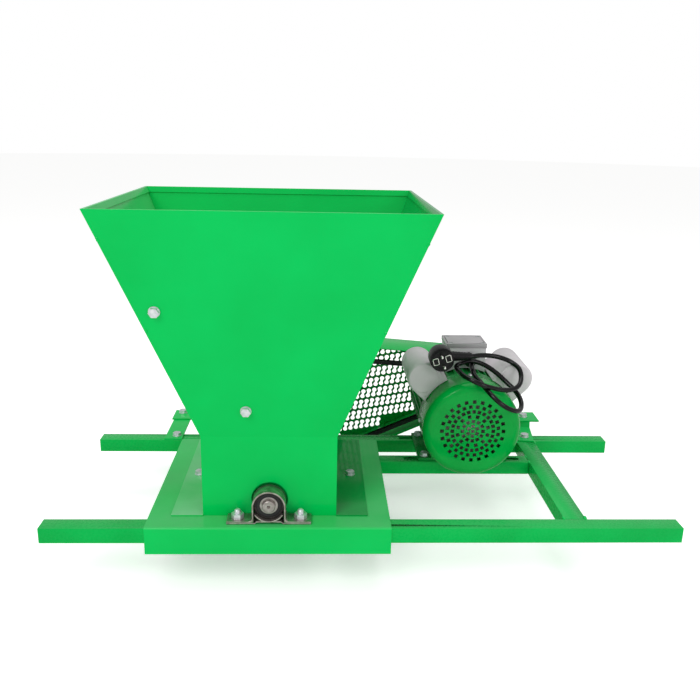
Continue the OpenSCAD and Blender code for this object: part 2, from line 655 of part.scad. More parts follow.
module guard_ear_right() color("limegreen") difference() {
  union() {
    block(ear_r, right_ear_stud[0] + 28, belt_y - 9, belt_y + 41, ear_z, ear_z + plate_t);
    block(ear_r, ear_r + plate_t, belt_y - 9, belt_y + 41, ear_z, guard_c2[1] + 26);
  }
  drill(right_ear_stud[0], right_ear_stud[1], 8);
}
module guard_bolts() color("silver") {
  for (p = [left_stud, right_stud]) translate([p[0], p[1], bar_h + plate_t])
    bolt(8, tube_wall + plate_t, 3);
  translate([left_ear_stud[0], left_ear_stud[1], bar_h + 2 * plate_t]) bolt(8, 2 * plate_t, 3);
  translate([right_ear_stud[0], right_ear_stud[1], ear_z + plate_t]) bolt(8, 2 * plate_t, 3);
}

// ---- motor ----
module foot_holes() for (x = foot_x, y = foot_y) drill(motor_x + x, y, 9);
module motor_frame() color("green") difference() {
  union() {
    y_plate(frame_y, frame_end) translate([motor_x, motor_z]) {
      circle(fin_root);
      for (i = [0:35]) rotate(i * 10 + 5) translate([fin_root - 2, -1.25])
        square([motor_r - fin_root + 2, 2.5]);
    }
    for (s = [-1, 1]) {
      block(motor_x + s * 70 - foot_w / 2, motor_x + s * 70 + foot_w / 2, foot_y[0] - 12, foot_y[1] + 12,
        bar_h, bar_h + foot_t);
      translate([motor_x + s * 53.5 - 5.5, foot_y[0] - 12, bar_h]) cube([11, 124, 45]);
      // saddle that carries the capacitor cover
      intersection() {
        y_plate(cap_y + 30, cap_y + cap_len - 20) polygon([
          [motor_x, motor_z], [motor_x + s * cap_x, motor_z + cap_rise],
          [motor_x + s * (cap_x + 16), motor_z + cap_rise - 16], [motor_x + s * 60, motor_z]]);
        y_rod(motor_x, motor_z, frame_y, frame_end, motor_r + 14);
      }
    }
  }
  y_rod(motor_x, motor_z, frame_y - 1, frame_end + 1, frame_bore);
  for (s = [-1, 1]) y_rod(motor_x + s * cap_x, motor_z + cap_rise, frame_y - 30, frame_end, cap_r + fit);
  foot_holes();
}
module motor_foot_bolts() color("silver") for (x = foot_x, y = foot_y)
  translate([motor_x + x, y, bar_h + foot_t]) bolt(8, tube_wall + foot_t, 3);

front_bearing = [frame_y - 3, 20, 47, 14];       // middle, bore, outside, width
rear_bearing = [frame_end + 8.5, 25, 52, 15];
shield_front = frame_y - 14;
shield_rear = frame_end + 17;
module shield_rim(y0, y1, r) y_tube(motor_x, motor_z, y0, y1, r, frame_bore - 4);
module motor_front_shield() color("green") difference() {
  union() {
    y_rod(motor_x, motor_z, shield_front, shield_front + 6, shield_r);
    shield_rim(shield_front + 5, frame_y, shield_r);
    shield_rim(frame_y - 1, frame_y + 4, frame_bore - fit);
    shield_rim(shield_front - 6, shield_front + 1, motor_r - cover_t + 2 - fit);
    y_rod(motor_x, motor_z, shield_front, front_bearing[0] + 9, 30);
  }
  y_rod(motor_x, motor_z, front_bearing[0] - 7, front_bearing[0] + 20, front_bearing[2] / 2 + fit);
  y_rod(motor_x, motor_z, shield_front - 1, frame_y, 9.5);
}
module motor_rear_shield() color("green") difference() {
  union() {
    y_rod(motor_x, motor_z, frame_end, frame_end + 10, motor_r);
    shield_rim(frame_end - 4, frame_end + 1, frame_bore - fit);
    y_rod(motor_x, motor_z, frame_end - 2, shield_rear, 34);
  }
  y_rod(motor_x, motor_z, frame_end - 3, rear_bearing[0] + 7.5, rear_bearing[2] / 2 + fit);
  y_rod(motor_x, motor_z, frame_end, shield_rear + 1, 14);
}
module motor_bearing_outer_rings() color("silver") translate([motor_x, 0, motor_z])
  for (b = [front_bearing, rear_bearing]) outer_ring(b[0], b[1], b[2], b[3]);
module motor_bearing_inner_rings() color("silver") translate([motor_x, 0, motor_z])
  for (b = [front_bearing, rear_bearing]) {
    inner_ring(b[0], b[1], b[2], b[3]);
    ball_ring(b[0], ball_circle(b[1], b[2]), 8);
  }

cover_len = 55;
cover_curve = 15;                      // radius of the cover's shoulder
// the cover's section inside radius r, up to height h, with a rounded shoulder
module cover_shape(r, h, curve) {
  square([r, h - curve]);
  square([r - curve, h]);
  translate([r - curve, h - curve]) circle(curve);
}
vent_w = 6.5;
// rings of square vents: radius, count
vents = [[0, 1], [9, 6], [18, 12], [27, 12], [36, 24], [45, 24], [54, 24]];
module fan_cover() color("green") difference() {
  translate([motor_x, shield_front, motor_z]) rotate([90, 0, 0]) difference() {
    rotate_extrude() difference() {
      cover_shape(shield_r, cover_len, cover_curve);
      translate([-1, -1]) cover_shape(shield_r - cover_t + 1, cover_len - cover_t + 1,
        cover_curve - cover_t);
    }
    for (k = [0:len(vents) - 1]) for (i = [0:vents[k][1] - 1])
      rotate([0, 0, (i + k % 2 / 2) * 360 / vents[k][1]])
        translate([vents[k][0] - vent_w / 2, -vent_w / 2, cover_len - 5]) cube([vent_w, vent_w, 10]);
  }
  cover_screw_holes(2.3);
}
module cover_screw_holes(r) for (a = [0:3]) translate([motor_x, shield_front - 3, motor_z])
  rotate([0, a * 90, 0]) cylinder(r = r, h = shield_r + 2);
module fan_cover_screws() color("silver") for (a = [0:3]) translate([motor_x, shield_front - 3, motor_z])
  rotate([0, a * 90, 0]) {
    translate([0, 0, shield_r]) cylinder(r1 = 4, r2 = 3, h = 2.4);
    translate([0, 0, shield_r - cover_t - fit]) cylinder(r = 2, h = 3);
  }
module cooling_fan() color("dimgray") {
  y0 = shield_front - 40;
  y_tube(motor_x, motor_z, y0, y0 + 26, 18, 8 + fit);
  y_tube(motor_x, motor_z, y0 + 22, y0 + 26, 70, 17);
  for (i = [0:7]) translate([motor_x, 0, motor_z]) rotate([0, i * 45, 0])
    block(-1.5, 1.5, y0, y0 + 23, 17, 70);
}
module motor_shaft() color("silver") difference() {
  union() {
    y_rod(motor_x, motor_z, shield_front - 44, front_bearing[0] - 7, 8);
    y_rod(motor_x, motor_z, front_bearing[0] - 7, front_bearing[0] + 7, front_bearing[1] / 2);
    y_rod(motor_x, motor_z, front_bearing[0] + 7, rear_bearing[0] - 7.5, 15);
    y_rod(motor_x, motor_z, rear_bearing[0] - 7.5, rear_bearing[0] + 7.5, rear_bearing[1] / 2);
    y_rod(motor_x, motor_z, rear_bearing[0] + 7, belt_y + 39, small_bore / 2);
    translate([motor_x, belt_y + 39, motor_z]) rotate([-90, 0, 0])
      cylinder(r1 = small_bore / 2, r2 = small_bore / 2 - 1, h = 1);
  }
  keyway(motor_x, motor_key_top - 7, motor_key_w, belt_y - 9, belt_y + 27, fit);
}
module rotor_core() color("silver")
  y_tube(motor_x, motor_z, core_y, core_y + core_len, rotor_r, 15 + fit);
module stator_core() color("gray") {
  y_tube(motor_x, motor_z, core_y, core_y + core_len, frame_bore - fit, rotor_r + air);
  for (y = [core_y - 15.1, core_y + core_len + 0.1])
    y_tube(motor_x, motor_z, y, y + 15, frame_bore - 10, rotor_r + 5);
}

// ---- capacitors ----
module at_caps() for (s = [-1, 1]) translate([motor_x + s * cap_x, cap_y, motor_z + cap_rise]) children();
module cap_cover() rotate([-90, 0, 0]) rotate_extrude() polygon([
  [0, 0], [cap_r - 3, 0], [cap_r, 3], [cap_r, cap_len], [cap_r - 2, cap_len], [cap_r - 2, 3.5],
  [cap_r - 3.5, 2], [0, 2]]);
module capacitor_cover_left() color("lightgray")
  translate([motor_x - cap_x, cap_y, motor_z + cap_rise]) cap_cover();
module capacitor_cover_right() color("lightgray")
  translate([motor_x + cap_x, cap_y, motor_z + cap_rise]) cap_cover();
module capacitors() color("white") at_caps() {
  y_rod(0, 0, 6, 94, cap_r - 6);
  for (x = [-6, 6]) block(x - 3, x + 3, 93, 101, -0.5, 0.5);
}
module capacitor_clamps() color("dimgray") at_caps() {
  for (y = [16, 76]) y_tube(0, 0, y, y + 8, cap_r - 2 - fit, cap_r - 6 + fit);
  y_tube(0, 0, cap_len - 4, cap_len, cap_r - 2 - fit, 6);
}

// ---- terminal box ----
box_x0 = motor_x - box_w / 2;
box_x1 = motor_x + box_w / 2;
box_y1 = box_y + box_dep;
posts = [for (x = [box_x0 + 7, box_x1 - 7], y = [box_y + 7, box_y1 - 7]) [x, y]];
module terminal_box() color("lightgray") difference() {
  union() {
    difference() {
      block(box_x0, box_x1, box_y, box_y1, motor_z + box_low, motor_z + box_top);
      block(box_x0 + 3, box_x1 - 3, box_y + 3, box_y1 - 3, motor_z + box_floor, motor_z + box_top + 1);
    }
    for (p = posts) translate([p[0], p[1], motor_z + box_floor - 1])
      cylinder(r = 5, h = box_top - box_floor + 1);
  }
  y_rod(motor_x, motor_z, box_y - 1, box_y1 + 1, motor_r + fit);
  for (p = posts) translate([p[0], p[1], motor_z + box_top - 14]) cylinder(r = 2 + fit, h = 20);
  y_rod(gland[0], gland[2], box_y - 1, box_y + 4, 8 + fit);
}
module terminal_lid() color("lightgray") difference() {
  block(box_x0 - 1, box_x1 + 1, box_y - 1, box_y1 + 1, motor_z + box_top, motor_z + box_top + lid_t);
  block(box_x0 + 3, box_x1 - 3, box_y + 3, box_y1 - 3,
    motor_z + box_top - 1, motor_z + box_top + lid_t - 5);
  for (p = posts) translate([p[0], p[1], motor_z + box_top]) {
    translate([0, 0, -1]) cylinder(r = 2 + hole_gap, h = 20);
    translate([0, 0, lid_t - 4]) cylinder(r = 4, h = 10);
  }
}
module lid_screws() color("silver") for (p = posts)
  translate([p[0], p[1], motor_z + box_top]) difference() {
  union() {
    translate([0, 0, -12]) cylinder(r = 2, h = 12 + lid_t - 4);
    translate([0, 0, lid_t - 4]) cylinder(r = 3.7, h = 3);
  }
  block(-3, 3, -0.5, 0.5, lid_t - 2.2, lid_t);
}
module terminal_block() color("ivory") {
  z0 = motor_z + box_floor;
  difference() {
    block(motor_x - 22, motor_x + 22, box_y + 18, box_y1 - 18, z0, z0 + 12);
    block(motor_x - 23, motor_x + 23, box_y + 29, box_y1 - 29, z0 + 8, z0 + 13);
  }
  for (x = [-14, 0, 14], y = [box_y + 23.5, box_y1 - 23.5]) translate([motor_x + x, y, z0 + 11])
    cylinder(r = 2, h = 7);
}
module cable_gland() color("dimgray") translate(gland) rotate([90, 0, 0]) difference() {
  union() {
    translate([0, 0, -10]) cylinder(r = 8, h = 11);
    rotate([0, 0, 30]) cylinder(r = 13, h = 9, $fn = 6);
    translate([0, 0, 8]) cylinder(r = 11, h = 10);
    translate([0, 0, 18]) cylinder(r1 = 11, r2 = 7, h = gland_len - 18);
    translate([0, 0, -10]) cylinder(r = 10.5, h = 5, $fn = 6);
  }
  translate([0, 0, -11]) cylinder(r = cord_r + 0.1, h = gland_len + 20);
}

// ---- plug and cord ----
module at_pins() for (s = [-1, 1])
  translate([plug[0] + s * pin_apart / 2 * cos(pin_turn), 0, plug[2] + s * pin_apart / 2 * sin(pin_turn)])
    children();
module plug_body() color("dimgray") difference() {
  union() {
    y_rod(plug[0], plug[2], plug[1], plug[1] + plug_len - 6, plug_r);
    translate([plug[0], plug[1] + plug_len - 6, plug[2]]) rotate([-90, 0, 0])
      cylinder(r1 = plug_r, r2 = plug_r - 5, h = 6);
    translate([plug[0] + 10, relief[1], relief[2]]) rotate([0, 90, 0])
      cylinder(r = 9, h = relief[0] - plug[0] - 10);
  }
  at_pins() y_rod(0, 0, plug[1] - 1, plug[1] + 12, pin_r + fit);
  // side recesses for the earth clips
  for (s = [-1, 1]) translate([plug[0], 0, plug[2]]) rotate([0, -pin_turn, 0])
    block(-4, 4, plug[1] - 1, plug[1] + 7, s * (plug_r + 1) - 3, s * (plug_r + 1) + 3);
}
module plug_pins() color("silver") at_pins() {
  y_rod(0, 0, plug[1] - 17, plug[1] + 12, pin_r);
  translate([0, plug[1] - 17, 0]) rotate([90, 0, 0]) cylinder(r1 = pin_r, r2 = pin_r - 1, h = 2);
}
module plug_strain_relief() color("dimgray") translate(relief) rotate([0, 90, 0]) difference() {
  union() {
    cylinder(r1 = 8.5, r2 = 6, h = relief_len);
    for (i = [0:4]) translate([0, 0, 3 + i * 5]) cylinder(r = 8.4 - i * 0.4, h = 2.5);
  }
  translate([0, 0, 5 - fit]) cylinder(r = cord_r + 0.1, h = relief_len);
}
cord_sides = 10;
function unit(v) = v / norm(v);
function tangent(i) = unit(cord_route[min(i + 1, len(cord_route) - 1)] - cord_route[max(i - 1, 0)]);
// a side direction carried along the route, always square to it
function side(i) = i == 0 ? unit(cross(tangent(0), [0, 0, 1])) :
  let (before = side(i - 1), t = tangent(i)) unit(before - t * (before * t));
module power_cord() color("black") {
  n = len(cord_route);
  m = cord_sides;
  frames = [for (i = [0:n - 1]) [side(i), cross(tangent(i), side(i))]];
  points = [for (i = [0:n - 1], k = [0:m - 1])
    cord_route[i] + cord_r * (cos(k * 360 / m) * frames[i][0] + sin(k * 360 / m) * frames[i][1])];
  walls = [for (i = [0:n - 2], k = [0:m - 1]) [i * m + k, i * m + (k + 1) % m,
    (i + 1) * m + (k + 1) % m, (i + 1) * m + k]];
  start = [for (k = [m - 1:-1:0]) k];
  end = [for (k = [0:m - 1]) (n - 1) * m + k];
  polyhedron(points, concat([start], walls, [end]));
}

front_bar();
rear_bar();
motor_rail();
cross_tube_outer();
cross_tube_inner();
base_tray();
hopper_front_panel();
hopper_rear_panel();
hopper_left_panel();
hopper_right_panel();
feed_baffle();
baffle_bolts();
flange_bolts();
bearing_bases();
bearing_straps();
drum_bearing_outer_rings();
drum_bearing_inner_rings();
bearing_seals();
pillow_block_bolts();
drum_shaft();
pulley_key();
drum_shell();
drum_end_discs();
drum_blades();
big_pulley();
small_pulley();
motor_key();
v_belt();
guard_band();
guard_back();
guard_strap_left();
guard_ear_left();
guard_strap_right();
guard_ear_right();
guard_bolts();
motor_frame();
motor_foot_bolts();
motor_front_shield();
motor_rear_shield();
motor_bearing_outer_rings();
motor_bearing_inner_rings();
fan_cover();
fan_cover_screws();
cooling_fan();
motor_shaft();
rotor_core();
stator_core();
capacitor_cover_left();
capacitor_cover_right();
capacitors();
capacitor_clamps();
terminal_box();
terminal_lid();
lid_screws();
terminal_block();
cable_gland();
plug_body();
plug_pins();
plug_strain_relief();
power_cord();
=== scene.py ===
"""Grape crusher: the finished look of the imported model, in the model's own frame.

Blender's lengths are metres. The classes hold sizes in millimetres, except where they say metres,
and MM turns them.
"""

import json
import logging
import math
from dataclasses import dataclass, field
from enum import Enum

import bpy
from mathutils import Matrix, Vector, noise


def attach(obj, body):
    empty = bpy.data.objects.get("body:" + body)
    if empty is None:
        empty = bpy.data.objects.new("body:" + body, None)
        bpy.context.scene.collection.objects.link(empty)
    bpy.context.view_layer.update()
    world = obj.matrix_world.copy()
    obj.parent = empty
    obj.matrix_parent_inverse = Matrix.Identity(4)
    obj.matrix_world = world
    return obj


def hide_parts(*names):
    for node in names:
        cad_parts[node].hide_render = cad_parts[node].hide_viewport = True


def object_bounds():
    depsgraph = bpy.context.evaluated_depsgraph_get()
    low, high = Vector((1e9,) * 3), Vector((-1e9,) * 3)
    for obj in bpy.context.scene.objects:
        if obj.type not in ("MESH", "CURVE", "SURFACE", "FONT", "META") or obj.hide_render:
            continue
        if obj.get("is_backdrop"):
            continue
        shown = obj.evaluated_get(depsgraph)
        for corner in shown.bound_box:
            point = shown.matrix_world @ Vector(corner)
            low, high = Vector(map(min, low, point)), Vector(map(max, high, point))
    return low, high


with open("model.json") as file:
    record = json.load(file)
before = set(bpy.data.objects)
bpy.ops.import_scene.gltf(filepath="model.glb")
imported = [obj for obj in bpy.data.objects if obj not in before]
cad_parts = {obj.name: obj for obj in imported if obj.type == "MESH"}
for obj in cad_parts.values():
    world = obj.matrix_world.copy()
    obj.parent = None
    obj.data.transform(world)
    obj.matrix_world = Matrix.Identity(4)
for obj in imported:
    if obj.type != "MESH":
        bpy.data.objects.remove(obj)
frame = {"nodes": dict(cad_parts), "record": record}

logging.basicConfig(level=logging.INFO, format="%(message)s")
log = logging.getLogger("crusher")

MM = 0.001
# Points nearer than this, in metres, are one point: in new pieces, and in the loose CAD meshes.
SAME_PLACE = 1e-6
SAME_PLACE_CAD = 1e-5
# The sockets of a colour Mix node: how much of the second, the first, the second, the result.
MIX_PART, MIX_FIRST, MIX_SECOND, MIX_RESULT = 0, 6, 7, 2
NODES: dict[str, bpy.types.Object] = frame["nodes"]
ROOT = "machine"


class Slot(Enum):
    """The record's material slots."""

    FRAME = "frame_paint"
    SHEET = "green_paint"
    MOTOR = "motor_paint"
    ZINC = "zinc"
    STEEL = "bright_steel"
    STRAP = "block_steel"
    PULLEY = "cast_pulley"
    BELT = "belt_rubber"
    GREY = "grey_plastic"
    CAN = "capacitor_can"
    BLACK = "black_plastic"
    BLOCK = "block_plastic"
    CORD = "cord_rubber"
    PIN = "pin_chrome"


# ---------------------------------------------------------------- shader tools


def linear(text: str) -> tuple[float, float, float, float]:
    """Turns an sRGB hex colour to linear RGBA.

    Args:
        text: a colour such as "#04C95A".

    Returns:
        The four linear channels, alpha 1.
    """
    parts = [int(text[i : i + 2], 16) / 255 for i in (1, 3, 5)]
    done = [c / 12.92 if c <= 0.04045 else ((c + 0.055) / 1.055) ** 2.4 for c in parts]
    return (done[0], done[1], done[2], 1.0)


def add_node(
    tree: bpy.types.NodeTree, kind: str, sockets: dict | None = None, **settings: object
) -> bpy.types.Node:
    """Adds one shader node with its settings, values and links.

    Args:
        tree: the material's node tree.
        kind: the node's type name, without the ShaderNode prefix.
        sockets: input name or index to a value, or to the output socket that feeds it.
        settings: the node's own properties.

    Returns:
        The new node.
    """
    made = tree.nodes.new("ShaderNode" + kind)
    for name, value in settings.items():
        setattr(made, name, value)
    for key, value in (sockets or {}).items():
        if isinstance(value, bpy.types.NodeSocket):
            tree.links.new(value, made.inputs[key])
        else:
            made.inputs[key].default_value = value
    return made


def new_material(name: str) -> tuple[bpy.types.Material, bpy.types.NodeTree]:
    """Starts an empty node material.

    Args:
        name: the material's name.

    Returns:
        The material and its node tree.
    """
    mat = bpy.data.materials.new(name)
    mat.use_nodes = True
    mat.node_tree.nodes.clear()
    return mat, mat.node_tree


@dataclass(frozen=True)
class Finish:
    """A surface: two close colours in soft patches, a fine relief and a roughness that wanders.

    patch_mm and grain_mm are the real sizes of the patches and of the relief, depth_mm its height.
    stretch draws the grain out along one axis, as on turned or rolled metal. The dust fields give
    the colour of dust and painted sheen laid on faces that look up, and how much of it there is.
    """

    name: str
    light: str
    dark: str
    patch_mm: float = 60.0
    grain_mm: float = 2.0
    depth_mm: float = 0.02
    rough: tuple[float, float] = (0.25, 0.35)
    metallic: float = 0.0
    ior: float = 1.5
    specular: float = 0.5
    coat: float = 0.0
    coat_rough: float = 0.06
    stretch: tuple[float, float, float] = (1.0, 1.0, 1.0)
    dust_and_sheen: str | None = None
    dust_and_sheen_part: float = 0.0
    dust_and_sheen_scale: float = 9.0
    patch_span: tuple[float, float] = (0.35, 0.65)
    grain_span: tuple[float, float] = (0.3, 0.7)

    def dust_and_sheen_over(
        self, tree: bpy.types.NodeTree, place: bpy.types.NodeSocket, bare: bpy.types.NodeSocket
    ) -> bpy.types.NodeSocket:
        """Lays dust and a painted sheen over a colour where the surface looks up.

        Args:
            tree: the material's node tree.
            place: the place on the object.
            bare: the colour without dust and sheen.

        Returns:
            The colour with its dust and painted sheen.
        """
        facing = add_node(tree, "NewGeometry").outputs["Normal"]
        up = add_node(tree, "SeparateXYZ", {0: facing})
        spots = add_node(
            tree, "TexNoise", {"Vector": place, "Scale": self.dust_and_sheen_scale, "Detail": 8.0}
        )
        times = {"operation": "MULTIPLY", "use_clamp": True}
        # Faces that look up take dust and a painted sheen, in noisy spots.
        lie = add_node(tree, "Math", {0: up.outputs["Z"], 1: spots.outputs["Fac"]}, **times)
        much = add_node(tree, "Math", {0: lie.outputs[0], 1: self.dust_and_sheen_part}, **times)
        laid = {MIX_PART: much.outputs[0], MIX_FIRST: bare, MIX_SECOND: linear(self.dust_and_sheen)}
        return add_node(tree, "Mix", laid, data_type="RGBA").outputs[MIX_RESULT]

    def build(self) -> bpy.types.Material:
        """Makes the node material.

        Returns:
            The material.
        """
        mat, tree = new_material(self.name)
        place = add_node(tree, "TexCoord").outputs["Object"]
        drawn = add_node(tree, "Mapping", {"Vector": place, "Scale": self.stretch}).outputs[0]
        patch = add_node(
            tree, "TexNoise", {"Vector": place, "Scale": 1 / (self.patch_mm * MM), "Detail": 3.0}
        )
        grain = add_node(
            tree, "TexNoise", {"Vector": drawn, "Scale": 1 / (self.grain_mm * MM), "Detail": 2.0}
        )
        part = add_node(
            tree,
            "MapRange",
            {
                "Value": patch.outputs["Fac"],
                "From Min": self.patch_span[0],
                "From Max": self.patch_span[1],
                "To Min": 0.0,
                "To Max": 1.0,
            },
        )
        pair = {
            MIX_PART: part.outputs[0],
            MIX_FIRST: linear(self.dark),
            MIX_SECOND: linear(self.light),
        }
        top = add_node(tree, "Mix", pair, data_type="RGBA").outputs[MIX_RESULT]
        if self.dust_and_sheen:
            top = self.dust_and_sheen_over(tree, place, top)
        rough = add_node(
            tree,
            "MapRange",
            {
                "Value": grain.outputs["Fac"],
                "From Min": self.grain_span[0],
                "From Max": self.grain_span[1],
                "To Min": self.rough[0],
                "To Max": self.rough[1],
            },
        )
        relief = add_node(
            tree,
            "Bump",
            {"Height": grain.outputs["Fac"], "Strength": 1.0, "Distance": self.depth_mm * MM},
        )
        shader = add_node(
            tree,
            "BsdfPrincipled",
            {
                "Base Color": top,
                "Metallic": self.metallic,
                "Roughness": rough.outputs[0],
                "IOR": self.ior,
                "Specular IOR Level": self.specular,
                "Normal": relief.outputs[0],
                "Coat Weight": self.coat,
                "Coat Roughness": self.coat_rough,
            },
        )
        add_node(tree, "OutputMaterial", {"Surface": shader.outputs[0]})
        return mat


FINISHES: dict[Slot, Finish] = {
    # Gloss enamel sprayed on welded tube: bright, slightly wavy highlights, and dust with a
    # painted sheen on faces that look up.
    Slot.FRAME: Finish(
        "enamel_on_tube", "#00BE54", "#00B24C", 90, 5.0, 0.035, (0.22, 0.34),
        specular=0.07, coat=0.08, dust_and_sheen="#9AD0AE", dust_and_sheen_part=0.16,
    ),
    # Gloss enamel on pressed sheet: an even bright green with a faint orange peel, and dust with a
    # painted sheen on faces that look up.
    Slot.SHEET: Finish(
        "enamel_on_sheet", "#00CC5D", "#00C457", 140, 6.0, 0.03, (0.16, 0.26),
        specular=0.05, coat=0.10, dust_and_sheen="#9AD8B0", dust_and_sheen_part=0.14,
    ),
    # The same enamel over a cast and finned housing: a shade deeper and rougher.
    Slot.MOTOR: Finish(
        "enamel_on_casting", "#009A42", "#008838", 40, 2.5, 0.08, (0.24, 0.4),
        specular=0.16, coat=0.05,
    ),
    # Zinc plated steel: pale grey with a small cloudy spangle.
    Slot.ZINC: Finish(
        "zinc_plate", "#E9EBEE", "#CDD1D6", 6, 1.2, 0.02, (0.34, 0.5), metallic=0.75
    ),
    # Bare pressed steel, a little browned: bright along the edges, drawn along the strip.
    Slot.STRAP: Finish(
        "pressed_steel", "#B7B1AA", "#938B84", 9, 1.0, 0.03, (0.26, 0.42),
        metallic=0.9, stretch=(1, 4, 1),
    ),
    # Ground and turned steel: brighter, drawn out round the part.
    Slot.STEEL: Finish(
        "ground_steel", "#B4AEAA", "#98918C", 8, 0.8, 0.012, (0.3, 0.44),
        metallic=0.9, stretch=(1, 6, 1),
    ),
    # Cast iron: dark, dry and grainy.
    Slot.PULLEY: Finish(
        "cast_iron", "#5C5F61", "#494C4E", 20, 1.5, 0.12, (0.5, 0.7), metallic=0.6
    ),
    # Moulded rubber: near black with a dull bloom.
    Slot.BELT: Finish("moulded_rubber", "#242425", "#191919", 30, 0.8, 0.05, (0.6, 0.8)),
    # Moulded ABS, finely eroded: light warm grey, soft sheen.
    Slot.GREY: Finish(
        "eroded_abs", "#D6D0D4", "#CCC6CA", 50, 0.7, 0.015, (0.3, 0.4),
        dust_and_sheen="#CFCDCB", dust_and_sheen_part=0.1,
    ),
    # Polypropylene can: white and waxy.
    Slot.CAN: Finish("white_polypropylene", "#EAEAE6", "#DEDEDA", 30, 1.0, 0.01, (0.25, 0.35)),
    # Moulded black nylon: satin.
    Slot.BLACK: Finish(
        "black_nylon", "#161618", "#101012", 25, 0.6, 0.02, (0.28, 0.4), specular=0.22
    ),
    # Ivory thermoset of the terminal block: hard and faintly glossy.
    Slot.BLOCK: Finish("ivory_thermoset", "#E8E1CB", "#DCD4BC", 20, 0.8, 0.01, (0.3, 0.4)),
    # PVC sheath of the cord: black, a little glossy where it bends.
    Slot.CORD: Finish(
        "pvc_sheath", "#0B0B0D", "#070708", 40, 1.5, 0.01, (0.15, 0.22), specular=0.3, coat=0.06
    ),
    # Nickel plated brass pins: bright, with sharp highlights.
    Slot.PIN: Finish(
        "nickel_plate", "#E3E1DC", "#D2D0CB", 8, 0.6, 0.004, (0.1, 0.18), metallic=1.0
    ),
}  # fmt: skip


# Nodes that keep their slot but look a shade different from the slot's other pieces.
SPECIAL: dict[str, Finish] = {
    # The spun fan cover: the enamel is deeper and glossier over its rounded shoulder.
    "fan_cover": Finish(
        "enamel_on_cover", "#00AE46", "#00A440", 60, 4.0, 0.03, (0.14, 0.24),
        specular=0.08, coat=0.16,
    ),
    # The left side sheet: paler on the faces that look up, most on its foot flange, as dust and
    # painted sheen.
    "hopper_left_panel": Finish(
        "enamel_dust_and_sheen_left_sheet", "#00CC5D", "#00C457", 140, 6.0, 0.03, (0.16, 0.26),
        specular=0.05, coat=0.10, dust_and_sheen="#B4E0C2", dust_and_sheen_part=0.75,
    ),
    # The right side sheet: the same enamel painted darker and glossier, the darker green as
    # painted shade on the shadowed side.
    "hopper_right_panel": Finish(
        "enamel_painted_shade_right_sheet", "#00A64A", "#009A42", 140, 6.0, 0.03, (0.12, 0.2),
        specular=0.12, coat=0.2,
    ),
    # The tray: a little dust and painted sheen on its flat top.
    "base_tray": Finish(
        "enamel_on_tray", "#00CC5D", "#00C457", 140, 6.0, 0.03, (0.14, 0.22),
        specular=0.08, coat=0.14, dust_and_sheen="#A8DCB8", dust_and_sheen_part=0.3,
    ),
    # The drum bearings' outer rings: dark and oiled.
    "drum_bearing_outer_rings": Finish(
        "oiled_ring", "#3B3836", "#2A2827", 8, 0.8, 0.01, (0.3, 0.42), metallic=0.8
    ),
    # The terminal box and its lid: the same plastic, painted lighter on the box as painted light
    # on its shadowed front, and darker on the lid as painted shade on its top.
    "terminal_box": Finish(
        "eroded_abs_box_painted_light", "#EAE6EA", "#E0DCE0", 50, 0.7, 0.015, (0.3, 0.4)
    ),
    "terminal_lid": Finish(
        "eroded_abs_lid_painted_shade", "#BEB9BD", "#B2ADB1", 50, 0.7, 0.015, (0.3, 0.4)
    ),
    # The capacitor covers: the same plastic in a paler batch.
    "capacitor_cover_left": Finish(
        "pale_abs_left", "#E2DCE0", "#D6D0D4", 50, 0.7, 0.015, (0.28, 0.38)
    ),
    "capacitor_cover_right": Finish(
        "pale_abs_right", "#E2DCE0", "#D6D0D4", 50, 0.7, 0.015, (0.28, 0.38)
    ),
    # The fan behind the vents: pale nylon that catches some light.
    "cooling_fan": Finish("pale_nylon", "#8E8C88", "#74726E", 20, 1.0, 0.02, (0.35, 0.5)),
}  # fmt: skip


@dataclass
class Palette:
    """All the materials, each built once: by slot, and by node for those that have their own."""

    made: dict[Slot, bpy.types.Material] = field(default_factory=dict)
    own: dict[str, bpy.types.Material] = field(default_factory=dict)

    def special(self, node: str) -> bpy.types.Material:
        """Finds a node's own material, and makes it when it is first asked for.

        Args:
            node: a name in SPECIAL.

        Returns:
            The material.
        """
        if node not in self.own:
            self.own[node] = SPECIAL[node].build()
        return self.own[node]

    def get(self, slot: Slot) -> bpy.types.Material:
        """Finds a slot's material, and makes it when it is first asked for.

        Args:
            slot: the slot.

        Returns:
            The material.
        """
        if slot not in self.made:
            self.made[slot] = FINISHES[slot].build()
        return self.made[slot]


PALETTE = Palette()


# ---------------------------------------------------------------- mesh tools


def alone(obj: bpy.types.Object) -> None:
    """Deselects everything, then selects and activates one object.

    Args:
        obj: the object.
    """
    bpy.ops.object.select_all(action="DESELECT")
    obj.select_set(True)
    bpy.context.view_layer.objects.active = obj


def settle(obj: bpy.types.Object) -> None:
    """Puts an object's place into its mesh: it then sits at the origin, unturned and unscaled."""
    alone(obj)
    bpy.ops.object.transform_apply(location=True, rotation=True, scale=True)


def dress(obj: bpy.types.Object, slot: Slot, body: str = ROOT) -> bpy.types.Object:
    """Gives a new piece its finish and its body.

    Args:
        obj: a finished piece at the origin.
        slot: the material slot it takes.
        body: the CAD body it rides on.

    Returns:
        The same object.
    """
    obj.data.materials.clear()
    obj.data.materials.append(PALETTE.get(slot))
    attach(obj, body)
    log.info("piece %s", obj.name)
    return obj


def finish_with(obj: bpy.types.Object, kind: str, **settings: object) -> None:
    """Adds a modifier with its settings and applies it.

    Args:
        obj: the object.
        kind: the modifier's type.
        settings: the modifier's own properties.
    """
    alone(obj)
    mod = obj.modifiers.new(kind.lower(), kind)
    for name, value in settings.items():
        setattr(mod, name, value)
    bpy.ops.object.modifier_apply(modifier=mod.name)


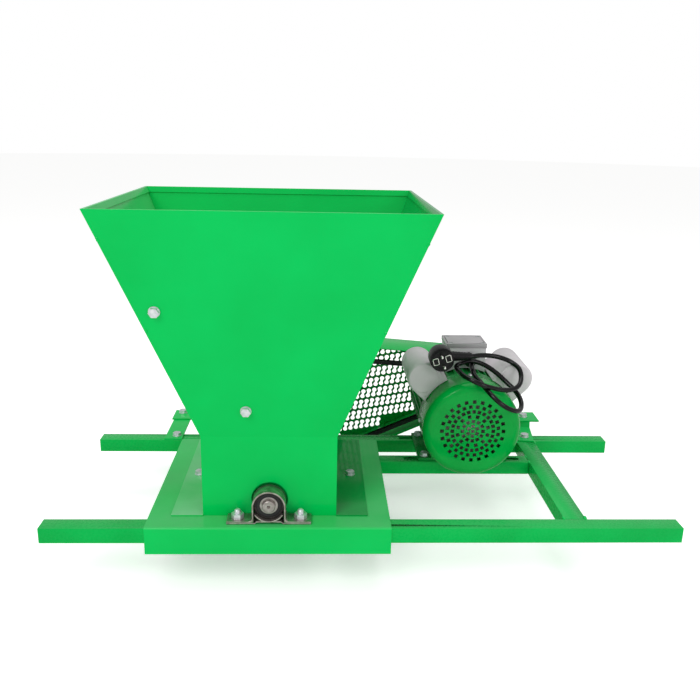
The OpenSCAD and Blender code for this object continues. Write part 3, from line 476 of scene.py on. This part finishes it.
def join_as(name: str, pieces: list[bpy.types.Object]) -> bpy.types.Object:
    """Joins several objects into one.

    Args:
        name: the joined object's name.
        pieces: the objects, one or more.

    Returns:
        The joined object.
    """
    bpy.ops.object.select_all(action="DESELECT")
    for piece in pieces:
        piece.select_set(True)
    bpy.context.view_layer.objects.active = pieces[0]
    if len(pieces) > 1:
        bpy.ops.object.join()
    made = bpy.context.view_layer.objects.active
    made.name = name
    return made


def close_up(obj: bpy.types.Object) -> None:
    """Merges doubled points and turns every face outwards.

    Args:
        obj: a new mesh.
    """
    alone(obj)
    bpy.ops.object.mode_set(mode="EDIT")
    bpy.ops.mesh.select_all(action="SELECT")
    bpy.ops.mesh.remove_doubles(threshold=SAME_PLACE)
    bpy.ops.mesh.normals_make_consistent(inside=False)
    bpy.ops.object.mode_set(mode="OBJECT")


def smooth(obj: bpy.types.Object, degrees: float = 35.0) -> None:
    """Smooth shading below an angle."""
    alone(obj)
    bpy.ops.object.shade_smooth_by_angle(angle=math.radians(degrees))


def round_off(obj: bpy.types.Object, width: float, segments: int, degrees: float) -> None:
    """Rounds the edges that are sharper than an angle.

    Args:
        obj: the object.
        width: the rounding's width in millimetres.
        segments: its steps.
        degrees: the angle.
    """
    sharp = {"limit_method": "ANGLE", "angle_limit": math.radians(degrees)}
    finish_with(obj, "BEVEL", width=width * MM, segments=segments, **sharp)


def link_new(name: str, data: bpy.types.ID) -> bpy.types.Object:
    """Puts new data into the scene.

    Args:
        name: the object's name.
        data: its curve, camera or lamp.

    Returns:
        The new object.
    """
    made = bpy.data.objects.new(name, data)
    bpy.context.scene.collection.objects.link(made)
    return made


def draw_lines(
    name: str, dimensions: str, lines: list[list[Vector]], closed: bool
) -> bpy.types.Curve:
    """Draws straight-sided lines as one curve.

    Args:
        name: the curve's name.
        dimensions: "2D" or "3D".
        lines: each line's points in metres, with X, Y and Z.
        closed: whether each line runs back to its start.

    Returns:
        The curve.
    """
    data = bpy.data.curves.new(name, "CURVE")
    data.dimensions = dimensions
    for points in lines:
        line = data.splines.new("POLY")
        line.points.add(len(points) - 1)
        for knot, point in zip(line.points, points):
            knot.co = (*point, 1.0)
        line.use_cyclic_u = closed
    return data


def to_mesh(name: str, data: bpy.types.Curve) -> bpy.types.Object:
    """Turns a curve into a mesh object.

    Args:
        name: the object's name.
        data: the curve.

    Returns:
        The mesh object, selected and active.
    """
    alone(link_new(name, data))
    bpy.ops.object.convert(target="MESH")
    return bpy.context.active_object


def cut_plate(
    name: str, outlines: list[list[Vector]], ends: tuple[float, float]
) -> bpy.types.Object:
    """Cuts a plate that stands across Y from its outline and its holes.

    Args:
        name: the plate's name.
        outlines: the outline and then the holes, in X and Z, in millimetres.
        ends: the plate's two faces along Y, in millimetres.

    Returns:
        The plate, with its place in its mesh.
    """
    lines = [[Vector((p.x * MM, p.y * MM, 0)) for p in outline] for outline in outlines]
    data = draw_lines(name, "2D", lines, closed=True)
    data.fill_mode = "BOTH"
    data.extrude = (ends[1] - ends[0]) / 2 * MM
    plate = to_mesh(name, data)
    plate.rotation_euler = (math.pi / 2, 0, 0)
    plate.location = (0, sum(ends) / 2 * MM, 0)
    settle(plate)
    close_up(plate)
    plate.name = name
    return plate


def loop_outline(c1: Vector, r1: float, c2: Vector, r2: float, steps: int = 40) -> list[Vector]:
    """Points on the line drawn tight round two circles, in X and Z.

    Args:
        c1: first centre.
        r1: first radius, the larger.
        c2: second centre.
        r2: second radius.
        steps: points on each arc.

    Returns:
        The outline's points, running anticlockwise seen from the front.
    """
    turn = math.atan2(c2.y - c1.y, c2.x - c1.x)
    wide = math.acos((r1 - r2) / (c2 - c1).length)
    points = []
    for centre, radius, start, span in (
        (c1, r1, turn + wide, 2 * math.pi - 2 * wide),
        (c2, r2, turn - wide, 2 * wide),
    ):
        for i in range(steps + 1):
            a = start + span * i / steps
            points.append(centre + radius * Vector((math.cos(a), math.sin(a))))
    return points


# ---------------------------------------------------------------- camera, light, floor


@dataclass(frozen=True)
class SoftBox:
    """A square lamp: its place and the point it faces, in metres, its size and its watts."""

    name: str
    at: tuple[float, float, float]
    aim: tuple[float, float, float]
    size: float
    watts: float

    def build(self) -> None:
        """Adds the lamp, turned to its point."""
        data = bpy.data.lights.new(self.name, "AREA")
        data.size = self.size
        data.energy = self.watts
        lamp = link_new(self.name, data)
        way = Vector(self.aim) - Vector(self.at)
        facing = way.to_track_quat("-Z", "Y").to_matrix().to_4x4()
        lamp.matrix_world = Matrix.Translation(self.at) @ facing


@dataclass
class Studio:
    """Camera, soft lamps, pale floor and white surround. Places in metres, angles in degrees."""

    place: tuple[float, float, float] = (-0.0745, -1.0946, 0.6225)
    tilt: float = 73.95
    pan: float = -2.36
    roll: float = 1.15
    lens: float = 40.14
    sensor: float = 36.0
    far: float = 50.0
    lamps: tuple[SoftBox, ...] = (
        SoftBox("key", (-1.5, -2.2, 2.6), (0.0, 0.1, 0.2), 1.6, 43.0),
        SoftBox("side", (1.7, -2.3, 1.5), (0.1, 0.1, 0.2), 1.2, 14.0),
        SoftBox("top", (0.1, 0.6, 2.8), (0.0, 0.1, 0.2), 1.8, 19.0),
    )
    # How bright the surround is to everything but the camera.
    surround_part: float = 0.53
    floor_r: float = 14.0
    floor_back: float = 4.0
    floor_gap: float = 0.002
    floor_glow: float = 0.45

    def camera(self) -> None:
        """Sets up the camera."""
        data = bpy.data.cameras.new("camera")
        data.lens = self.lens
        data.sensor_width = self.sensor
        data.clip_end = self.far
        cam = link_new("camera", data)
        cam.matrix_world = (
            Matrix.Translation(self.place)
            @ Matrix.Rotation(math.radians(self.pan), 4, "Z")
            @ Matrix.Rotation(math.radians(self.tilt), 4, "X")
            @ Matrix.Rotation(math.radians(self.roll), 4, "Z")
        )
        bpy.context.scene.camera = cam

    def light(self) -> None:
        """Adds the lamps and the surround, which the camera sees white."""
        for lamp in self.lamps:
            lamp.build()
        world = bpy.data.worlds.new("surround")
        bpy.context.scene.world = world
        world.use_nodes = True
        tree = world.node_tree
        tree.nodes.clear()
        path = add_node(tree, "LightPath")
        seen = add_node(
            tree,
            "Math",
            {0: path.outputs["Is Camera Ray"], 1: path.outputs["Is Transmission Ray"]},
            operation="MAXIMUM",
        )
        level = add_node(
            tree,
            "MapRange",
            {"Value": seen.outputs[0], "To Min": self.surround_part, "To Max": 1.0},
        )
        back = add_node(
            tree, "Background", {"Color": linear("#FFFFFF"), "Strength": level.outputs[0]}
        )
        add_node(tree, "OutputWorld", {"Surface": back.outputs[0]})
        bpy.context.scene.view_settings.view_transform = "Standard"

    def floor(self) -> None:
        """Lays a pale floor just under the lowest point."""
        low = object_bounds()[0][2] - self.floor_gap
        bpy.ops.object.select_all(action="DESELECT")
        bpy.ops.mesh.primitive_circle_add(
            vertices=64, radius=self.floor_r, fill_type="NGON", location=(0, self.floor_back, low)
        )
        floor = bpy.context.active_object
        floor.name = "floor"
        mat, tree = new_material("pale_floor")
        shader = add_node(tree, "BsdfDiffuse", {"Color": linear("#FBFBFA")})
        glow = add_node(
            tree, "Emission", {"Color": linear("#FFFFFF"), "Strength": self.floor_glow}
        )
        path = add_node(tree, "LightPath")
        both = add_node(tree, "AddShader", {0: shader.outputs[0], 1: glow.outputs[0]})
        pick = add_node(
            tree,
            "MixShader",
            {0: path.outputs["Is Camera Ray"], 1: shader.outputs[0], 2: both.outputs[0]},
        )
        add_node(tree, "OutputMaterial", {"Surface": pick.outputs[0]})
        floor.data.materials.append(mat)
        floor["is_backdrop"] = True


# ---------------------------------------------------------------- cord and plug


@dataclass
class CordSet:
    """The motor's power cord with its plug, looped over the fan cover.

    The cord's diameter is in metres. Its route runs from the plug to the gland.
    """

    diameter: float = 8.5 * MM
    route: tuple[tuple[int, int, int], ...] = (
        (166, 207, 238), (180, 207, 238), (192, 207, 238), (210, 214, 238),
        (229, 219, 236), (248, 220, 232), (265, 214, 226), (277, 201, 217),
        (278, 188, 204), (270, 173, 195), (254, 162, 192), (237, 153, 195),
        (220, 144, 201), (203, 139, 207), (185, 143, 214), (171, 156, 219),
        (164, 174, 223), (164, 193, 224), (174, 210, 224), (192, 219, 226),
        (211, 220, 222), (228, 216, 214), (243, 208, 204), (256, 199, 193),
        (268, 187, 183), (275, 172, 172), (273, 154, 164), (264, 137, 163),
        (249, 126, 169), (232, 123, 179), (218, 130, 190), (208, 145, 199),
        (202, 163, 205), (196, 181, 209), (194, 199, 215), (196, 219, 218),
        (199, 238, 217), (199, 250, 217), (199, 264, 217),
    )  # fmt: skip
    plug: tuple[float, float, float] = (138.4, 190.0, 235.8)
    pin_turn: float = 106.0
    # The face: a disc with a raised rim, and a low boss in its middle.
    face_r: float = 17.5
    face_depth: float = 2.4
    face_proud: float = 0.6
    rim_width: float = 1.6
    rim_height: float = 1.0
    boss_inset: float = 9.0
    boss_height: float = 0.5
    face_edge: float = 0.3
    # An earth clip: half its frame's width and height, its corners, its distance from the middle.
    clip_half: tuple[float, float] = (4.6, 5.6)
    clip_corner: float = 1.6
    clip_steps: int = 4
    clip_out: float = 11.2
    clip_wire: float = 0.95
    # How far it stands off the face at its ends' level, and how much more in its middle.
    clip_stand: float = 1.9
    clip_bow: float = 0.5
    bow_turn: float = 1.5

    def cable(self) -> None:
        """Draws the cord as one smooth curve, from the gland to the plug."""
        points = [Vector(p) * MM for p in reversed(self.route)]
        data = bpy.data.curves.new("power_cord_curve", "CURVE")
        data.dimensions = "3D"
        data.bevel_depth = self.diameter / 2
        data.bevel_resolution = 5
        data.resolution_u = 6
        data.use_fill_caps = True
        line = data.splines.new("BEZIER")
        line.bezier_points.add(len(points) - 1)
        for i, (knot, point) in enumerate(zip(line.bezier_points, points)):
            before, after = points[max(i - 1, 0)], points[min(i + 1, len(points) - 1)]
            way = (after - before).normalized()
            knot.co = point
            knot.handle_left_type = knot.handle_right_type = "FREE"
            knot.handle_left = point - way * (point - before).length / 3
            knot.handle_right = point + way * (after - point).length / 3
        obj = link_new("power_cord_sheath", data)
        dress(obj, Slot.CORD)
        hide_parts("power_cord")

    def plug_face(self) -> None:
        """Models the plug's round face between the pins."""
        x, y, z = (v * MM for v in self.plug)
        bpy.ops.object.select_all(action="DESELECT")
        bpy.ops.mesh.primitive_cylinder_add(
            vertices=64,
            radius=self.face_r * MM,
            depth=self.face_depth * MM,
            location=(x, y - self.face_proud * MM, z),
            rotation=(math.pi / 2, 0, 0),
        )
        face = bpy.context.active_object
        settle(face)
        alone(face)
        bpy.ops.object.mode_set(mode="EDIT")
        bpy.ops.mesh.select_all(action="DESELECT")
        bpy.ops.object.mode_set(mode="OBJECT")
        for poly in face.data.polygons:
            poly.select = poly.normal.y < -0.9
        bpy.ops.object.mode_set(mode="EDIT")
        for inset, back in (
            (self.rim_width, self.rim_height),
            (self.boss_inset, -self.boss_height),
        ):
            bpy.ops.mesh.inset(thickness=inset * MM)
            bpy.ops.mesh.extrude_region_move(TRANSFORM_OT_translate={"value": (0, back * MM, 0)})
        bpy.ops.object.mode_set(mode="OBJECT")
        round_off(face, self.face_edge, 2, 40)
        smooth(face)
        dress(join_as("plug_face", [face]), Slot.BLACK)

    def on_face(self, right: float, up: float, forward: float) -> Vector:
        """Finds a place on the plug's face, turned with the pins.

        Args:
            right: its distance from the middle across the pins' line, in millimetres.
            up: its distance along the pins' line.
            forward: its height off the face.

        Returns:
            The place in metres.
        """
        turn = math.radians(self.pin_turn - 90.0)
        x, y, z = self.plug
        across = right * math.cos(turn) - up * math.sin(turn)
        rise = right * math.sin(turn) + up * math.cos(turn)
        return Vector((x + across, y - forward, z + rise)) * MM

    def clip_outline(self, side: int) -> list[Vector]:
        """Draws the middle line of one earth clip, a frame with round corners, bowed forwards.

        Args:
            side: -1 or 1, the side of the pins' line.

        Returns:
            Its points in metres.
        """
        half_w, half_h = self.clip_half
        outline = []
        for cx, cz, start in ((1, 1, 0), (-1, 1, 90), (-1, -1, 180), (1, -1, 270)):
            for k in range(self.clip_steps + 1):
                a = math.radians(start + k * 90 / self.clip_steps)
                right = cx * (half_w - self.clip_corner) + self.clip_corner * math.cos(a)
                up = cz * (half_h - self.clip_corner) + self.clip_corner * math.sin(a)
                stand = self.clip_stand + self.clip_bow * math.cos(up / half_h * self.bow_turn)
                outline.append(self.on_face(side * self.clip_out + right, up, stand))
        return outline

    def earth_clips(self) -> None:
        """Bends the two sprung earth clips beside the pins from chrome wire."""
        made = []
        for side in (-1, 1):
            data = draw_lines("earth_clip", "3D", [self.clip_outline(side)], closed=True)
            data.bevel_depth = self.clip_wire * MM
            data.bevel_resolution = 3
            data.use_fill_caps = False
            made.append(to_mesh("earth_clip", data))
            smooth(made[-1], 60)
        dress(join_as("plug_earth_clips", made), Slot.PIN)

    def build(self) -> None:
        """Cord first, then what the plug shows."""
        self.cable()
        self.plug_face()
        self.earth_clips()


# ---------------------------------------------------------------- guard


@dataclass
class Guard:
    """The belt guard's perforated rear sheet: dog-bone holes in tilted rows along the belt."""

    big: tuple[float, float] = (-150.0, 64.0)
    big_r: float = 147.0
    small: tuple[float, float] = (194.0, 124.0)
    small_r: float = 60.0
    rear: tuple[float, float] = (483.5, 485.0)
    slack: float = 0.02
    # A hole: the radius of its two lobes, their distance from its middle, half its waist.
    lobe: float = 4.8
    reach: float = 5.5
    neck: float = 2.5
    lobe_points: int = 8
    hole_half: float = 10.0
    # The holes' tilt in degrees, their pitch along and across, and the room they leave at the rim.
    tilt: float = 20.0
    pitch: tuple[float, float] = (11.8, 22.6)
    margin: float = 2.0
    # The rows and columns that are tried: only those inside the rim are cut.
    rows: range = range(-7, 8)
    columns: range = range(-20, 45)

    def bone(self, centre: Vector, along: Vector) -> list[Vector]:
        """Draws one dog-bone hole.

        Args:
            centre: its middle.
            along: its direction.

        Returns:
            Its points, clockwise.
        """
        across = Vector((-along.y, along.x))
        half = math.asin(self.neck / self.lobe)
        sweep = (2 * math.pi - 2 * half) / (self.lobe_points - 1)
        points = []
        for side in (1, -1):
            middle = centre + along * self.reach * side
            for i in range(self.lobe_points):
                a = (math.pi - half) - i * sweep
                points.append(
                    middle + side * self.lobe * (along * math.cos(a) + across * math.sin(a))
                )
        return points

    def inside(self, point: Vector, room: float) -> bool:
        """Tells whether a point is inside the outline.

        Args:
            point: the point.
            room: the least distance from the outline.

        Returns:
            True if it is inside by at least that distance.
        """
        c1, c2 = Vector(self.big), Vector(self.small)
        along = c2 - c1
        reach = along.length
        slip = (self.big_r - self.small_r) / reach
        unit = along / reach
        rel = point - c1
        u, v = rel.dot(unit), abs(rel.dot(Vector((-unit.y, unit.x))))
        start = u - v * slip / math.sqrt(1 - slip * slip)
        part = min(max(start / reach, 0.0), 1.0)
        near = c1 + along * part
        return (point - near).length < self.big_r + (self.small_r - self.big_r) * part - room

    def holes(self, along: Vector) -> list[list[Vector]]:
        """Draws every hole that fits inside the rim.

        Args:
            along: the belt's direction.

        Returns:
            The holes' outlines.
        """
        middle = Vector(self.big)
        across = Vector((-along.y, along.x))
        lean = math.radians(self.tilt)
        axis = across * math.cos(lean) + along * math.sin(lean)
        made = []
        for row in self.rows:
            shift = row * self.pitch[1] * math.tan(lean)
            for column in self.columns:
                right = along * (column * self.pitch[0] + shift)
                spot = middle + right + across * (row * self.pitch[1])
                tips = [spot + axis * s * self.hole_half for s in (-1, 1)]
                if all(self.inside(tip, self.margin) for tip in tips):
                    made.append(self.bone(spot, axis))
        return made

    def build(self) -> None:
        """Cuts the sheet from its outline and holes, in place of the plain CAD sheet."""
        c1, c2 = Vector(self.big), Vector(self.small)
        rim = loop_outline(c1, self.big_r - self.slack, c2, self.small_r - self.slack)
        outlines = [rim, *self.holes((c2 - c1).normalized())]
        sheet = cut_plate("guard_mesh", outlines, self.rear)
        dress(sheet, Slot.SHEET)
        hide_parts("guard_back")


# ---------------------------------------------------------------- small details


@dataclass
class WeldBeads:
    """Tack welds on the hopper's front corners and along the frame's joints."""

    # X and Z on the hopper's front corners. Y follows from the front sheet's lean.
    corner: tuple[tuple[float, float], ...] = ((-374, 469), (-322, 337), (74, 469), (22, 337))
    corner_size: tuple[float, float, float] = (2.2, 2.0, 5.5)
    middle_x: float = -150.0
    neck_front: float = 24.0
    neck_top: float = 161.0
    front_lean: float = 10.55
    side_lean: float = 21.4
    frame_tacks: tuple[tuple[float, float, float], ...] = (
        (319.5, 20, 25), (354.5, 20, 25), (319.5, 330, 25), (354.5, 330, 25),
        (319.5, 238, 24), (319.5, 262, 24),
    )  # fmt: skip
    tack_size: tuple[float, float, float] = (2.4, 6.0, 1.6)
    # The height of the lumps, and how many waves of them a metre holds.
    lump: float = 0.9
    lumps_per_metre: float = 420.0

    def bead(
        self, at: Vector, size: tuple[float, float, float], lean: float = 0.0
    ) -> bpy.types.Object:
        """Models one lumpy bead.

        Args:
            at: its middle, in metres.
            size: its half sizes in millimetres.
            lean: its turn about Y in radians.

        Returns:
            The bead as its own object.
        """
        bpy.ops.object.select_all(action="DESELECT")
        bpy.ops.mesh.primitive_ico_sphere_add(subdivisions=4, radius=1.0, location=at)
        bead = bpy.context.active_object
        bead.scale = [s * MM for s in size]
        bead.rotation_euler = (0, lean, 0)
        settle(bead)
        for v in bead.data.vertices:
            out = (v.co - at).normalized()
            v.co += out * self.lump * MM * noise.noise(v.co * self.lumps_per_metre)
        smooth(bead, 60)
        return bead

    def build(self) -> None:
        """Places and joins all beads."""
        rise = math.tan(math.radians(self.front_lean))
        made = []
        for x, z in self.corner:
            y = self.neck_front - (z - self.neck_top) * rise
            side = -1 if x < self.middle_x else 1
            lean = side * math.radians(self.side_lean)
            made.append(self.bead(Vector((x, y, z)) * MM, self.corner_size, lean))
        for at in self.frame_tacks:
            made.append(self.bead(Vector(at) * MM, self.tack_size))
        dress(join_as("weld_beads", made), Slot.SHEET)


@dataclass
class CoverFeet:
    """The foot of each capacitor cover, which carries its sides down to the motor's shell."""

    # The motor's axis in X and Z, and the cover's axis to the right of it and above.
    motor: tuple[float, float] = (194.0, 115.0)
    cover: tuple[float, float] = (83.0, 79.29)
    cover_r: float = 28.3
    shell_r: float = 86.3
    ends: tuple[float, float] = (214.0, 319.0)
    steps: int = 12
    edge: float = 1.2

    def section(self, side: int) -> list[Vector]:
        """Draws a foot's section: square to the cover, hollowed to the shell.

        Args:
            side: -1 for the left cover, 1 for the right one.

        Returns:
            Its points in X and Z.
        """
        middle = Vector((side * self.cover[0], self.cover[1]))
        out = middle.normalized()
        across = Vector((-out.y, out.x))
        top = out * middle.length
        points = [top + across * self.cover_r, top - across * self.cover_r]
        for k in range(self.steps + 1):
            v = -self.cover_r + 2 * self.cover_r * k / self.steps
            points.append(out * math.sqrt(self.shell_r**2 - v * v) + across * v)
        return [Vector(self.motor) + point for point in points]

    def build(self) -> None:
        """Extrudes each section along the motor, in its cover's own plastic."""
        for side, label in ((-1, "left"), (1, "right")):
            foot = cut_plate(f"capacitor_cover_foot_{label}", [self.section(side)], self.ends)
            round_off(foot, self.edge, 3, 60)
            smooth(foot)
            dress(foot, Slot.GREY)
            foot.data.materials[0] = PALETTE.special(f"capacitor_cover_{label}")


@dataclass
class Threads:
    """Rolled threads on the pillow blocks' studs, where they stand out of their nuts."""

    stud_x: tuple[float, float] = (-199.0, -101.0)
    stud_y: tuple[float, float] = (7.5, 308.5)
    stud_z: float = 40.0
    radius: float = 5.0
    length: float = 5.0
    pitch: float = 1.5
    depth: float = 0.55
    # The skin lies this far off the stud. Its seam lies this part of a turn round from X.
    lift: float = 0.04
    seam: float = 0.5
    steps_round: int = 28
    steps_per_turn: int = 6

    def one(self, base: Vector) -> bpy.types.Object:
        """Models the helical skin round one upright stud end.

        Args:
            base: where the thread starts, in metres.

        Returns:
            The thread as its own object.
        """
        bpy.ops.object.select_all(action="DESELECT")
        rows = int(self.length / self.pitch * self.steps_per_turn)
        bpy.ops.mesh.primitive_grid_add(
            x_subdivisions=self.steps_round, y_subdivisions=rows, size=1.0
        )
        skin = bpy.context.active_object
        for v in skin.data.vertices:
            turn, up = (v.co.x + 0.5), (v.co.y + 0.5)
            phase = (up * self.length / self.pitch - turn) % 1.0
            r = self.radius + self.lift - self.depth * abs(phase - 0.5) * 2 * (0 < up < 1)
            r -= (up >= 1) * self.depth
            a = (turn + self.seam) * 2 * math.pi
            v.co = Vector((r * math.cos(a), r * math.sin(a), up * self.length)) * MM
        skin.data.transform(Matrix.Translation(base))
        close_up(skin)
        smooth(skin, 50)
        return skin

    def build(self) -> None:
        """Threads all four studs."""
        made = []
        for y in self.stud_y:
            for x in self.stud_x:
                made.append(self.one(Vector((x, y, self.stud_z)) * MM))
        dress(join_as("stud_threads", made), Slot.ZINC)


# ---------------------------------------------------------------- CAD nodes


@dataclass
class Carried:
    """The CAD nodes that show as they are: a finish for each, and softened edges."""

    # The edges' width, and the widths of the nodes that have their own.
    soft: float = 0.4
    widths: dict[str, float] = field(
        default_factory=lambda: {
            "front_bar": 2.2,
            "rear_bar": 2.2,
            "motor_rail": 2.0,
            "cross_tube_outer": 2.0,
            "base_tray": 0.5,
            "hopper_front_panel": 0.7,
            "hopper_rear_panel": 0.7,
            "hopper_left_panel": 0.7,
            "hopper_right_panel": 0.7,
            "terminal_box": 1.6,
            "terminal_lid": 1.6,
            "plug_body": 1.2,
            "fan_cover": 0.5,
            "bearing_straps": 0.7,
            "bearing_bases": 0.8,
            "pillow_block_bolts": 0.5,
            "motor_frame": 0.5,
        }
    )
    # Angles in degrees: an edge that turns more is softened, faces that turn less are one face.
    sharp_turn: float = 38.0
    flat_turn: float = 0.5
    # Folded and flat sheet, which takes no smooth shading.
    flat: tuple[str, ...] = (
        "base_tray", "hopper_front_panel", "hopper_rear_panel", "hopper_left_panel",
        "hopper_right_panel", "feed_baffle", "guard_strap_left", "guard_strap_right",
        "guard_ear_left", "guard_ear_right",
    )  # fmt: skip

    def dress_node(self, node: bpy.types.Object, name: str, slot: Slot) -> None:
        """Gives one node its material and its shading.

        Args:
            node: the node's object.
            name: the node's name.
            slot: its slot in the record.
        """
        material = PALETTE.special(name) if name in SPECIAL else PALETTE.get(slot)
        if not node.material_slots:
            node.data.materials.append(material)
        for holder in node.material_slots:
            holder.link = "OBJECT"
            holder.material = material
        for poly in node.data.polygons:
            poly.use_smooth = name not in self.flat

    def soften(self, node: bpy.types.Object, name: str) -> None:
        """Rounds one node's edges.

        Args:
            node: the node's object.
            name: the node's name.
        """
        weld = node.modifiers.new("weld", "WELD")
        weld.merge_threshold = SAME_PLACE_CAD
        if name in self.flat:
            merge = node.modifiers.new("flat_faces", "DECIMATE")
            merge.decimate_type = "DISSOLVE"
            merge.angle_limit = math.radians(self.flat_turn)
        bevel = node.modifiers.new("soften", "BEVEL")
        bevel.width = self.widths.get(name, self.soft) * MM
        bevel.segments = 3
        bevel.limit_method = "ANGLE"
        bevel.angle_limit = math.radians(self.sharp_turn)
        bevel.harden_normals = True
        bevel.use_clamp_overlap = True

    def build(self) -> None:
        """Dresses every node by its slot in the record and rounds its edges."""
        for row in frame["record"]["subparts"]:
            name = row["node"]
            self.dress_node(NODES[name], name, Slot(row["material_slot"]))
            self.soften(NODES[name], name)


def note_size(step: str, sizes: dict[str, list]) -> None:
    """Args:
        step: the name it is kept under.
        sizes: the boxes so far, which this adds to.
    """
    low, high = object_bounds()
    sizes[step] = [list(low), list(high)]


def main() -> None:
    """Builds the scene in order."""
    sizes: dict[str, list] = {}
    note_size("loaded", sizes)
    studio = Studio()
    studio.camera()
    CordSet().build()
    Carried().build()
    Guard().build()
    WeldBeads().build()
    CoverFeet().build()
    Threads().build()
    studio.light()
    studio.floor()
    note_size("finished", sizes)


if __name__ == "__main__":
    main()
